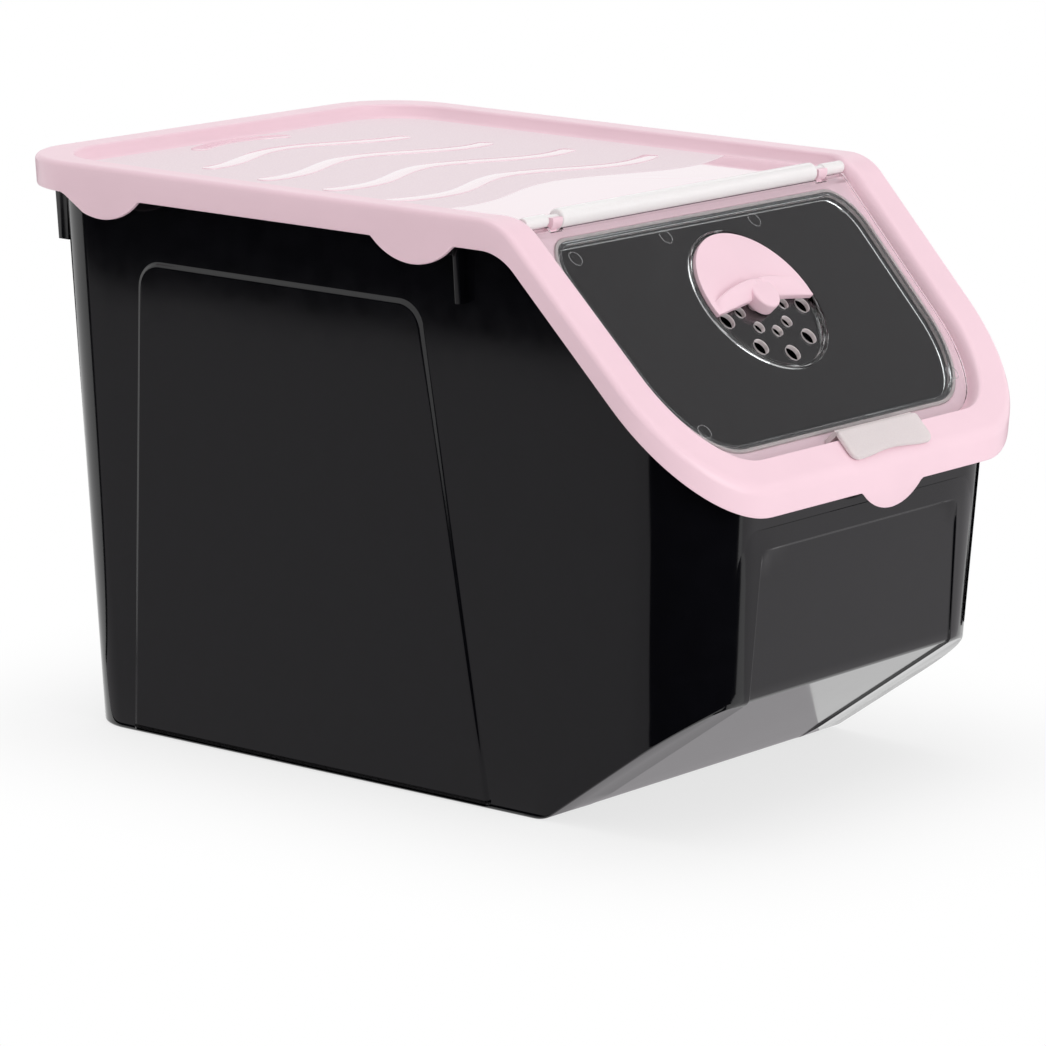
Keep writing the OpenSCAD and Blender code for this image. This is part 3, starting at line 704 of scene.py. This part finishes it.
def rib(y0, reach, x0):
    """Bead along y = y0 + rise cos(2 pi x / wave), moved by x0: flat top, rounded edges, round ends."""
    x = reach * np.sin(np.linspace(-math.pi / 2, math.pi / 2, 121))
    u = np.array([-1, -0.995, -0.98, -0.96, -0.93, 0.93, 0.96, 0.98, 0.995, 1])
    rise = np.array([0, 0.35, 0.7, 0.93, 1, 1, 0.93, 0.7, 0.35, 0])
    ends = np.sqrt(1 - np.clip((np.abs(x) - reach + RIB_W / 2) / (RIB_W / 2), 0, 1) ** 2)
    line = y0 + RISE * np.cos(2 * math.pi * x / WAVE)
    slope = -RISE * 2 * math.pi / WAVE * np.sin(2 * math.pi * x / WAVE)
    norm = np.sqrt(1 + slope ** 2)
    off = RIB_W / 2 * u[None, :] * ends[:, None]
    top = np.stack([x0 + x[:, None] - off * (slope / norm)[:, None], line[:, None] + off / norm[:, None],
                    FLOOR_Z + RIB_H * rise[None, :] * np.minimum(ends * 2, 1)[:, None]], -1)
    low = top.copy()
    low[..., 2] = FLOOR_Z - 0.4
    return sheet(np.concatenate([top, low[:, ::-1]], 1), wrap_cols=True)


moulding("lid_ribs", [rib(*r) for r in RIBS], [polished_pink], "lid", sharp=50.0)

# %% [markdown]
# ## The clear flap
# The flap is a flat plate that lies on the ledge. Its upper edge carries the
# hinge barrel with a pin at either end, a downstand on its underside goes
# through the window, and a round cup in its middle holds the vent. Six faint
# rings are the marks of ejector pins. Clear parts that share a volume would
# show the seam between them, so each is a closed body that ends a twentieth of
# a millimetre short of the next.

# %% Flap
FACE, UNDERSIDE, GAP = 4.7, 7.2, 0.05
VENT_S, CUP_R, CUP_IN, CUP_FLOOR = 53.5, 33.6, 32.2, 6.4
BARREL, STUB_X = 84.5, 98.8
EJECTORS = [(-89, 20), (-29.5, 18), (29.5, 18), (89, 20), (-84, 105), (84, 105)]


def flap_outline():
    """Plate outline: round lower corners, and an upper edge that steps round the barrel and the two hooks."""
    low = slope_loop(FLAP_HW - 1.4, 3.6, FLAP_S - 0.7, FLAP_R, 1.0)[:15]
    top = np.array([[FLAP_HW - 1.6, -3.6], [91.9, -3.6], [91.9, -6.2], [BARREL, -6.2], [BARREL, -4.95]])
    right = np.concatenate([low, top])
    return np.concatenate([right, right[::-1] * (-1, 1)])


def vent_place(p):
    """Local place about the vent's middle, carried to the slope."""
    return slope_place(p + np.array([0, -VENT_S, 0]))


def vent_holes():
    """Two rows of five holes below the middle of the cup, as loops."""
    a = np.radians(-90 + 38.5 * np.arange(-2, 3))
    rows = ((25.8, 3.5, 40), (14.8, 2.5, 32))
    return [circle(r, n, pitch * math.cos(k), pitch * math.sin(k)) for pitch, r, n in rows for k in a]


flap_parts = plate(flap_outline(), [circle(CUP_R + GAP, 96, 0, -VENT_S)],
                   both_edges(-UNDERSIDE, -FACE, 0.3, 2), slope_place)
flap_parts += plate(window_loop(0), [window_loop(-2)],
                    both_edges(-UNDERSIDE - 4.0, -UNDERSIDE - GAP, 0.3, 2), slope_place)
flap_parts += plate(circle(CUP_R, 96), [circle(CUP_IN, 96)],
                    both_edges(-CUP_FLOOR - 2, -FACE - 0.3, 0.3, 2), vent_place)
flap_parts += plate(circle(CUP_IN - GAP, 96), vent_holes() + [circle(2.55, 32)],
                    [(0.0, -CUP_FLOOR - 2), (0.0, -CUP_FLOOR - 0.15), (0.15, -CUP_FLOOR)], vent_place, 1)
# Slot 2, the barrel, pins and stubs, takes the milky white of a painted highlight.
flap_parts.append((*pad(circle(4.0), both_edges(-BARREL, BARREL, 1.0, 5), hinge_at(0)), 2))
for k in (-1, 1):
    flap_parts.append((*pad(circle(2.0, 48), [(0.0, -3.65), (0.0, 3.65)], hinge_at(k * HOOK_X)), 2))
    flap_parts.append((*pad(circle(2.6, 56), both_edges(-6.9, 6.9, 0.6, 4), hinge_at(k * STUB_X)), 2))
for x, s in EJECTORS:
    flap_parts += plate(circle(3.4, 64, x, -s), [circle(3.0, 64, x, -s)],
                        [(0.0, GAP - FACE), (0.1, 0.2 - FACE)], slope_place)
moulding("flap_clear", flap_parts, [clear_ps, frosted_ps, barrel_highlight_ps], "door", ("flap",), sharp=9.0)
seal = plate(window_loop(1.5), [window_loop(GAP)],
             both_edges(-UNDERSIDE - 2.4, -UNDERSIDE - GAP, 0.3, 3), slope_place)
moulding("flap_seal_ring", seal, [seal_silicone], "door", ("flap_seal",), sharp=30.0)

# %% [markdown]
# ## The finger tab
# A frosted lip at the flap's lower edge reaches over the rim, so that a finger
# can lift the flap. It stands a little to the right, above the front lift tab.
# Its lower edge is hollowed slightly, and a short riser joins it to the flap.

# %% Finger tab
LIP_HALF, LIP_END = 27.0, 135.2


def lip_outline():
    """Lip seen from above the slope: straight sides, round corners, a lower edge that bows up in its middle."""
    c = np.linspace(0, math.pi / 2, 7)
    x = np.linspace(-LIP_HALF + 4.0, LIP_HALF - 4.0, 25)
    edge_low = -LIP_END + 1.6 * np.cos(math.pi * x / (2 * LIP_HALF - 8)) ** 2
    right = np.stack([LIP_HALF - 4 + 4 * np.sin(c), -LIP_END + 4 - 4 * np.cos(c)], 1)[1:]
    top = np.stack([LIP_HALF - 2 + 2 * np.cos(c), -121.5 - 2 + 2 * np.sin(c)], 1)
    return np.concatenate([np.stack([x, edge_low], 1), right, top, top[::-1] * (-1, 1), right[::-1] * (-1, 1)])


def tab_place(p):
    """Local place on the slope, shifted to the right with the lift tab."""
    return slope_place(p + np.array([TAB_SHIFT, 0, 0]))


riser = np.array([[-26.0, -122.4], [26.0, -122.4], [26.0, -120.4], [-26.0, -120.4]])
tab_parts = [pad(lip_outline(), both_edges(0.35, 2.6, 0.9, 5), tab_place),
             pad(riser, [(0.0, -UNDERSIDE), (0.0, 0.9)], tab_place)]
moulding("flap_finger_tab", tab_parts, [frosted_ps], "door")

# %% [markdown]
# ## The vent dial
# The dial is a half disc that turns in the cup and covers or clears the holes.
# Its grip is a low wing along the straight edge: it rises from either end
# to the middle, slopes down to the front and drops steeply at the back, with a
# small notch as the pointer. A round hub covers the pivot.

# %% Dial
DIAL_R, HUB_R, DIAL_TOP, WING = 31.9, 7.2, -3.6, 29.0


def dial_outline():
    """Half disc whose straight edge drops a little to its ends, with the round of the hub in its middle."""
    a = np.radians(np.linspace(-7.1, 187.1, 80))
    b = np.radians(np.linspace(186.8, 353.2, 40))
    return np.concatenate([r * np.stack([np.cos(k), np.sin(k)], 1) for r, k in ((DIAL_R, a), (HUB_R, b))])


def wing():
    """Height field between the straight edge and an arch: a ramp up from the front, a steep fall at the arch."""
    x = WING * np.sin(np.linspace(-math.pi / 2, math.pi / 2, 121))[:, None]
    v = np.array([0, 0.02, 0.1, 0.2, 0.35, 0.5, 0.65, 0.78, 0.88, 0.94, 0.98, 1.0])[None, :]
    low = -0.9 - np.maximum(np.abs(x) - HUB_R, 0) * 0.129
    high = 7.6 - x ** 2 / 152
    ramp = np.array([0, 0.12, 0.25, 0.4, 0.6, 0.77, 0.9, 0.98, 1.0, 0.9, 0.6, 0])[None, :]
    notch = 1 - 0.75 * np.exp(-(x / 1.3) ** 2) * np.clip((v - 0.55) / 0.3, 0, 1)
    crest = (2.3 + 1.6 * (1 - (x / WING) ** 2)) * (1 - np.abs(x / WING) ** 12)
    top = np.stack(np.broadcast_arrays(x, low + v * (high - low), DIAL_TOP + crest * ramp * notch), -1)
    base = top.copy()
    base[..., 2] = DIAL_TOP - 0.4
    return sheet(vent_place(np.concatenate([top, base[:, ::-1]], 1)), wrap_cols=True)


dial_parts = [pad(dial_outline(), both_edges(DIAL_TOP - 2.6, DIAL_TOP, 0.35, 3), vent_place), wing(),
              pad(circle(HUB_R), round_edge(DIAL_TOP - 1.8, DIAL_TOP + 3.3, 1.2, 6), vent_place),
              pad(circle(2.5, 40), [(0.0, -11.0), (0.0, DIAL_TOP - 1.0)], vent_place)]
moulding("dial", dial_parts, [satin_pink], "dial", ("vent_dial",))

# %% [markdown]
# ## The tub
# The tub is one thin shell: a flat base that turns up into a sloping underside
# at the front, walls that lean out to the lid, and a flange with an upright
# lip that the lid sits over. Its outline leans as the lid's does, and the
# height of its base is a function of the distance from the front.

# %% Tub outline and base
BODY = dict(hw=LID_HW - 12.4, front=LID_FRONT + 9.4, back=LID_BACK - 11.4, r=(LID_R[0] - 12.4, LID_R[1] - 12.4))
BODY_WALL, LIP_OUT, LIP_T, LIP_TOP, FLANGE = 2.5, 5.8, 2.4, 4.9, 8.5
FLOOR_FRONT = BODY["front"] + TOP * LEAN
UNDER_Y, UNDER_R = FLOOR_FRONT + 73.0, 14.0
UNDER = math.atan2(55.0, 73.0 + 55.0 * LEAN)


def base_height(y, w=0.0):
    """Height of the base under y, raised by the wall w: flat, a turn of UNDER_R, then the rising underside."""
    r = UNDER_R - w
    edge_y = UNDER_Y + w * math.tan(UNDER / 2)
    cy = edge_y + r * math.tan(UNDER / 2)
    arc = w + r - np.sqrt(np.maximum(r * r - (y - cy) ** 2, 0))
    rise = w + (edge_y - y) * math.tan(UNDER)
    return np.where(y > cy, w, np.where(y < cy - r * math.sin(UNDER), rise, arc))


def body_ring(o, height):
    """Loop on the tub's leaning wall, let out by o."""
    return ring(-o, height, **BODY)


def rows_across(loop, n=9):
    """Fills a loop that is the same left and right with straight rows from side to side."""
    right = loop[:N_LOOP // 2 + 1]
    left = right * (-1, 1, 1)
    w = np.linspace(0, 1, n)[None, :, None]
    return right[:, None] * (1 - w) + left[:, None] * w


print("underside rises at", round(math.degrees(UNDER), 1), "degrees")

# %% [markdown]
# ## The tub's walls
# The walls are carried round the plan outline, from the base's edge up to the
# lip and down the inside again. Base and inner floor are filled with straight
# rows from side to side.

# %% Tub walls
FILLET, IN_FILLET = 1.3, 6.0
turns = np.radians((0, 30, 60, 90))
foot_rows = [body_ring(-FILLET * (1 - math.cos(a)), lambda x, y, k=FILLET * (1 - math.sin(a)): base_height(y) + k)
             for a in turns]
share_up = np.linspace(0, 1, 13)[1:-1]
low_edge, high_edge = foot_rows[0], body_ring(0, lambda x, y: top_height(y, FLANGE + WALL))
wall_rows = [body_ring(0, lambda x, y, k=k: low_edge[:, 2] * (1 - k) + high_edge[:, 2] * k) for k in share_up]
lip = [(0, FLANGE + WALL), (LIP_OUT - 0.4, FLANGE + WALL), (LIP_OUT, FLANGE + WALL - 0.4), (LIP_OUT, LIP_TOP + 0.6),
       (LIP_OUT - 0.6, LIP_TOP), (LIP_OUT - LIP_T + 0.6, LIP_TOP), (LIP_OUT - LIP_T, LIP_TOP + 0.6),
       (LIP_OUT - LIP_T, FLANGE), (-BODY_WALL + 0.6, FLANGE), (-BODY_WALL, FLANGE + 0.6)]
lip_rows = [body_ring(o, lambda x, y, t=t: top_height(y, t)) for o, t in lip]
in_low = body_ring(-BODY_WALL, lambda x, y: base_height(y, BODY_WALL) + IN_FILLET)
in_high = lip_rows[-1]
in_rows = [body_ring(-BODY_WALL, lambda x, y, k=k: in_high[:, 2] * (1 - k) + in_low[:, 2] * k) for k in share_up]
in_rows += [body_ring(-BODY_WALL - IN_FILLET * (1 - math.cos(a)),
                      lambda x, y, k=IN_FILLET * (1 - math.sin(a)): base_height(y, BODY_WALL) + k) for a in turns]
walls = sheet(np.array(foot_rows[::-1] + wall_rows + lip_rows + in_rows), wrap_cols=True)


def base_fill(loop, w):
    """Base surface inside its edge loop: rows across, with the base's own height."""
    rows = rows_across(loop)
    rows[..., 2] = base_height(rows[..., 1], w)
    return sheet(rows)


tub_parts = [walls, base_fill(foot_rows[-1], 0.0), base_fill(in_rows[-1], BODY_WALL)]
print("wall rows", len(foot_rows + wall_rows + lip_rows + in_rows))

# %% [markdown]
# ## Nesting fins
# Two thin fins on the sides and two at the back stand under the flange, so
# that stacked tubs don't jam. Each is a small upright blade sunk into its wall.

# %% Fins
FIN_DROP, FIN_X, FIN_Y = 28.0, 100.4, BEND_Y + 27.0


def fin(outline, place):
    """Thin nesting fin: a small block with softened edges, sunk a little into the wall behind it."""
    return pad(outline, both_edges(-1.5, 1.5, 0.4, 2), place)


def wall_x(z):
    """Half width of the tub's side wall at height z."""
    return BODY["hw"] - (TOP - z) * LEAN


def wall_back(z):
    """Place of the tub's back wall at height z."""
    return BODY["back"] - (TOP - z) * LEAN


Z0, Z1 = TOP - FLANGE - FIN_DROP, TOP - FLANGE - 0.5
blade = np.array([[-1.0, Z0], [LIP_OUT - 1.3, Z0], [LIP_OUT - 0.1, Z1], [-1.0, Z1]])
for sign in (-1, 1):
    tub_parts.append(fin(blade, lambda p, k=sign: np.stack(
        [k * (wall_x(p[..., 1]) + p[..., 0]), FIN_Y + p[..., 2], p[..., 1]], -1)))
    tub_parts.append(fin(blade, lambda p, k=sign: np.stack(
        [k * FIN_X + p[..., 2], wall_back(p[..., 1]) - 4 + p[..., 0], p[..., 1]], -1)))
moulding("tub_shell", tub_parts, [gloss_black], "tub", ("bin_body",))

# %% [markdown]
# ## Side panels of the tub
# Shallow panels stiffen the walls. A side panel is a rounded outline on a flat
# wall with a small soft step, so it is a pad whose section is an S curve. One
# more ring, just inside the step, keeps the bevel's shading off the flat.

# %% Side panels
STEP, SOFT, SIDE_LOW, SIDE_TOP = 0.9, 1.8, 0.9, 201.5


def rounded(corners, radii, n=8):
    """Polygon whose corners are replaced by arcs of the given radii."""
    p = np.array(corners, float)
    rows = []
    for before, at, after, r in zip(np.roll(p, 1, 0), p, np.roll(p, -1, 0), radii):
        u, v = (before - at) / np.linalg.norm(before - at), (after - at) / np.linalg.norm(after - at)
        half_angle = math.acos(np.clip(u @ v, -1, 1)) / 2
        c = at + (u + v) / np.linalg.norm(u + v) * r / math.sin(half_angle)
        a, b = at + u * r / math.tan(half_angle) - c, at + v * r / math.tan(half_angle) - c
        a0 = math.atan2(a[1], a[0])
        turn = (math.atan2(b[1], b[0]) - a0 + math.pi) % (2 * math.pi) - math.pi
        k = a0 + turn * np.linspace(0, 1, n + 1)
        rows.append(np.stack([c[0] + r * np.cos(k), c[1] + r * np.sin(k)], 1))
    return np.concatenate(rows)


inset = SOFT * np.linspace(0, 1, 8)
lift = STEP * (3 * (inset / SOFT) ** 2 - 2 * (inset / SOFT) ** 3)
FLOOR_BACK = BODY["back"] - TOP * LEAN
side_outline = rounded([(FLOOR_FRONT + 99, SIDE_LOW), (FLOOR_BACK - 29, SIDE_LOW),
                        (FLOOR_BACK - 41, SIDE_TOP), (FLOOR_FRONT + 129, SIDE_TOP)], (0.5, 0.5, 12, 12))
side_section = [(0.0, -1.2)] + list(zip(inset, lift)) + [(SOFT + 0.8, STEP)]
panels = [pad(side_outline, side_section, lambda p, k=k: np.stack(
    [k * (wall_x(p[..., 1]) + p[..., 2]), p[..., 0], p[..., 1]], -1)) for k in (-1, 1)]
print("side panel outline", len(side_outline), "points")

# %% [markdown]
# ## Front panel of the tub
# The front panel runs down the front wall, round the edge and on along the
# underside. It is set in a little: the wall swells towards its border and drops
# inside it, so the rise is a function of the distance to that border. The grid
# is finest near the border, where the surface turns.

# %% Front panel
FRONT_TOP, FRONT_EDGE, FRONT_R, SWELL, DROP, SET = 115.0, 55.0, 9.0, 16.0, 1.1, 0.12


def front_wall(x, z):
    """Place y of the tub's front wall, with its round corners, at x and height z."""
    fall = TOP * LEAN
    hw0, hd0 = BODY["hw"] - fall, (BODY["back"] - BODY["front"]) / 2 - fall
    r = BODY["r"][0] * (LID_HW - fall) / LID_HW
    over = np.clip(np.abs(x) / (1 + z * LEAN / hw0) - hw0 + r, 0, r)
    return (BODY["back"] + BODY["front"]) / 2 - (hd0 - r + np.sqrt(r * r - over ** 2)) * (1 + z * LEAN / hd0)


def front_strip():
    """Sheet down the front wall and along the underside: a power curve up to the border, an S curve down inside."""
    near = np.array([-16, -12, -8, -5, -3, -1.5, -0.6, -0.2, 0, 0.15, 0.3, 0.45, 0.6, 0.75, 0.9, 1.1, 1.5, 4, 9])
    z = np.concatenate([FRONT_TOP - near[2:], np.linspace(FRONT_TOP - 12, FRONT_EDGE + 0.9, 14)])
    edge_y, end_y = front_wall(0.0, FRONT_EDGE), UNDER_Y + 2 - BODY["front"] - (TOP - FRONT_EDGE) * LEAN
    y = np.concatenate([[0.8, 1.6, 2.4], np.linspace(5, end_y, 40)]) + edge_y
    down = FRONT_TOP - np.concatenate([z, base_height(y)])
    width = 67 + 5 * np.clip(down, 0, 135) / 135
    x = width[:, None] - np.concatenate([near, [20.0, 40.0]])
    x = np.concatenate([-x, x[:, ::-1]], 1)
    wall_part, low_part = x[:len(z)], x[len(z):]
    on_wall = np.stack(np.broadcast_arrays(wall_part, front_wall(wall_part, z[:, None]), z[:, None]), -1)
    low_y = np.maximum(y[:, None], front_wall(low_part, base_height(y)[:, None]) + 0.3)
    at = np.concatenate([on_wall, np.stack([low_part, low_y, base_height(low_y)], -1)])
    side, top = width[:, None] - np.abs(x), np.broadcast_to(down[:, None], x.shape)
    in_corner = (side < FRONT_R) & (top < FRONT_R)
    inside = np.where(in_corner, FRONT_R - np.hypot(FRONT_R - side, FRONT_R - top), np.minimum(side, top))
    q = np.clip(inside / DROP, 0, 1)
    swell = STEP * np.clip(1 + inside / SWELL, 0, 1) ** 1.3 - 0.1 * np.clip(-inside / SWELL, 0, 1)
    rise = np.where(inside < 0, swell, STEP * (1 - q * q * (3 - 2 * q)) + SET * q)
    rise = rise * np.clip(at[..., 2] / 8, 0, 1) - 0.4 * (at[..., 2] < 0.6)
    n = np.cross(np.gradient(at, axis=0), np.gradient(at, axis=1))
    n /= np.linalg.norm(n, axis=-1, keepdims=True)
    n *= np.sign(-n[len(z) // 2, x.shape[1] // 2, 1])
    return sheet(np.concatenate([at + n * rise[..., None], (at - n * 1.2)[:, ::-1]], 1), wrap_cols=True, caps=True)


panels.append(front_strip())
moulding("tub_panels", panels, [gloss_black], "tub")

# %% [markdown]
# ## Camera
# The photograph was taken from the front left, a little above the lid, with a
# long lens. The camera's place, turn and focal length come from the bin's
# edges, and its axes are written out so that nothing is left to a helper.

# %% Camera
EYE = (-1.7035, -1.34365, 0.5565)
SENSOR, FOCAL_PIXELS, FRAME_PIXELS = 36.0, 5376.34, 1046
AZIMUTH, ELEVATION, ROLL = map(math.radians, (-51.72, 12.114, 0.7374))
level_run = math.cos(ELEVATION)
back = Vector((math.sin(AZIMUTH) * level_run, -math.cos(AZIMUTH) * level_run, math.sin(ELEVATION)))
right = Vector((0, 0, 1)).cross(back).normalized()
up = back.cross(right)
right_r = right * math.cos(ROLL) + up * math.sin(ROLL)
up_r = up * math.cos(ROLL) - right * math.sin(ROLL)
camera_data = bpy.data.cameras.new("camera")
camera_data.sensor_width = SENSOR
camera_data.lens = SENSOR * FOCAL_PIXELS / FRAME_PIXELS
camera_data.clip_end = 50.0
camera = bpy.data.objects.new("camera", camera_data)
bpy.context.scene.collection.objects.link(camera)
axes = Matrix((right_r, up_r, back)).transposed().to_4x4()
camera.matrix_world = Matrix.Translation(EYE) @ axes
bpy.context.scene.camera = camera
bpy.context.scene.view_settings.view_transform = "Standard"
print("lens", round(camera_data.lens, 1), "mm")

# %% [markdown]
# ## Studio floor
# Gloss black plastic shows whatever stands round it, so the studio is part of
# the look. The floor is white and runs on into white: close to the bin it keeps
# the shadow, further out it turns to plain light, and a mirror sees it white.

# %% Floor
FLOOR_R, FOOTPRINT, FADE = 6.0, (0.08, 0.13, 0), 0.16


def floor_material():
    """White floor: its shadow shows near the bin, plain white takes over further out and in mirrors."""
    m, tree = new_material("floor_white")
    where = add(tree, "ShaderNodeTexCoord").outputs["Object"]
    side = add(tree, "ShaderNodeVectorMath", {"operation": "ABSOLUTE"}, i0=where)
    past = add(tree, "ShaderNodeVectorMath", {"operation": "SUBTRACT"}, i0=side.outputs[0], i1=FOOTPRINT)
    past = add(tree, "ShaderNodeVectorMath", {"operation": "MAXIMUM"}, i0=past.outputs[0], i1=(0, 0, 0))
    reach = add(tree, "ShaderNodeVectorMath", {"operation": "LENGTH"}, i0=past.outputs[0])
    far = add(tree, "ShaderNodeMapRange", {"interpolation_type": "SMOOTHSTEP"}, Value=reach.outputs["Value"],
              From_Min=0.0, From_Max=FADE, To_Min=0.72, To_Max=1.0)
    path = add(tree, "ShaderNodeLightPath")
    mix = add(tree, "ShaderNodeMath", {"operation": "MULTIPLY"},
              i0=far.outputs["Result"], i1=path.outputs["Is Camera Ray"])
    mix = add(tree, "ShaderNodeMath", {"operation": "MAXIMUM"}, i0=mix.outputs[0], i1=path.outputs["Is Glossy Ray"])
    white = add(tree, "ShaderNodeEmission", Color=(1, 1, 1, 1), Strength=1.0)
    matte = add(tree, "ShaderNodeBsdfDiffuse", Color=linear("#FBFBFB"))
    both = add(tree, "ShaderNodeMixShader", Fac=mix.outputs[0], i1=matte.outputs[0], i2=white.outputs[0])
    return surfaced(m, both)


def card(name, corners, material):
    """Flat stage piece over the given corners."""
    mesh = bpy.data.meshes.new(name)
    mesh.from_pydata(corners, [], [tuple(range(len(corners)))])
    mesh.materials.append(material)
    o = bpy.data.objects.new(name, mesh)
    bpy.context.scene.collection.objects.link(o)
    return o


def flat_card(name, z, corners, material):
    """Card lying at height z."""
    return card(name, [(x, y, z) for x, y in corners], material)


flat_card("floor", 0, FLOOR_R * np.array([(-1, -1), (1, -1), (1, 1), (-1, 1)]), floor_material())
print("floor", 2 * FLOOR_R, "m wide")

# %% [markdown]
# ## Cards
# A photographer sets cards round a glossy thing and shapes what it mirrors.
# Black, grey and pale ones lie on the floor for the tub's walls, and a smoky
# one hangs where the flap mirrors it. The grey one under the front overhang is
# a painted shadow: the bin's shade on the floor, as the sloping underside
# mirrors it. They are seen only in mirrors, the smoky one also through the
# flap, and they put no light on the bin.


# %% Cards
def glow(name, level):
    """Card colour: plain light of one level, a little purple."""
    m, tree = new_material(name)
    return surfaced(m, add(tree, "ShaderNodeEmission", Color=(level, level * 0.97, level, 1), Strength=1.0))


black_card, tree = new_material("card_black")
surfaced(black_card, add(tree, "ShaderNodeBsdfDiffuse", Color=linear("#050505")))
charcoal, grey, pale, smoke = (glow("card_" + name, level) for name, level in
                               (("charcoal", 0.42), ("grey", 0.55), ("pale", 0.7), ("smoke", 0.34)))
LOW, HIGH = 0.001, 0.002
flags = [flat_card("flag_left", LOW, [(-0.1, -0.16), (0.6, -1.37), (-1.3, -1.4), (-1.3, 1.2), (-0.9, 1.2),
                                      (-0.1, 0.24)], black_card),
         flat_card("card_left", HIGH, [(-0.1, 0.22), (-0.66, 0.78), (-0.66, 0.03), (-0.45, -0.085),
                                       (-0.1, -0.155)], charcoal),
         # Grey card under the front overhang: painted shadow of the bin on the floor, seen in the underside.
         flat_card("card_under_painted_shadow", LOW, [(-0.1, -0.08), (0.094, -0.08), (0.081, -0.0977), (0.066, -0.1175),
                                       (0.052, -0.136), (-0.1, -0.136)], grey),
         flat_card("card_front", HIGH, [(-0.03, -0.18), (1.0, -0.18), (1.0, -1.2), (0.52, -1.2)], pale),
         flat_card("flag_right", LOW, [(0.3, -0.15), (2.4, -0.15), (2.4, 2.4), (0.3, 2.4)], black_card)]
window_card = card("card_window", [(1.0, -1.1, 0.75), (1.25, -1.1, 1.5), (1.35, 0.25, 1.5), (1.1, 0.25, 0.75)],
                   smoke)
for flag in flags + [window_card]:
    flag.visible_camera = flag.visible_diffuse = flag.visible_shadow = flag.visible_transmission = False
window_card.visible_transmission = True
print("cards", len(flags) + 1)

# %% [markdown]
# ## Lamps and sky
# One large soft lamp stands in front and one hangs overhead. The sky is even:
# white to the camera, to mirrors and to glass, and a little dimmer as light, so
# that the pale pink doesn't wash out.


# %% Lamps and sky
def lamp(name, place, aim, size, power):
    """Square soft lamp at a place, turned to its aim."""
    data = bpy.data.lights.new(name, "AREA")
    data.shape = "SQUARE"
    data.size = size
    data.energy = power
    o = bpy.data.objects.new(name, data)
    bpy.context.scene.collection.objects.link(o)
    turn = (Vector(aim) - Vector(place)).to_track_quat("-Z", "Y").to_matrix().to_4x4()
    o.matrix_world = Matrix.Translation(place) @ turn


lamp("key", (0.0, -2.1, 0.6), (0, 0, 0.12), 1.2, 14.5)
lamp("top", (0.0, 0.3, 2.0), (0, 0, 0.2), 1.4, 8.5)
world = bpy.data.worlds.new("sky")
bpy.context.scene.world = world
world.use_nodes = True
wt = world.node_tree
wt.nodes.clear()
path = add(wt, "ShaderNodeLightPath")
seen = add(wt, "ShaderNodeMath", {"operation": "MAXIMUM"},
           i0=path.outputs["Is Camera Ray"], i1=path.outputs["Is Glossy Ray"])
seen = add(wt, "ShaderNodeMath", {"operation": "MAXIMUM"}, i0=seen.outputs[0], i1=path.outputs["Is Transmission Ray"])
level = add(wt, "ShaderNodeMapRange", Value=seen.outputs[0], To_Min=0.67, To_Max=1.0)
sky = add(wt, "ShaderNodeBackground", Color=(1, 1, 1, 1), Strength=level.outputs["Result"])
wt.links.new(sky.outputs[0], add(wt, "ShaderNodeOutputWorld").inputs["Surface"])
print("studio ready")
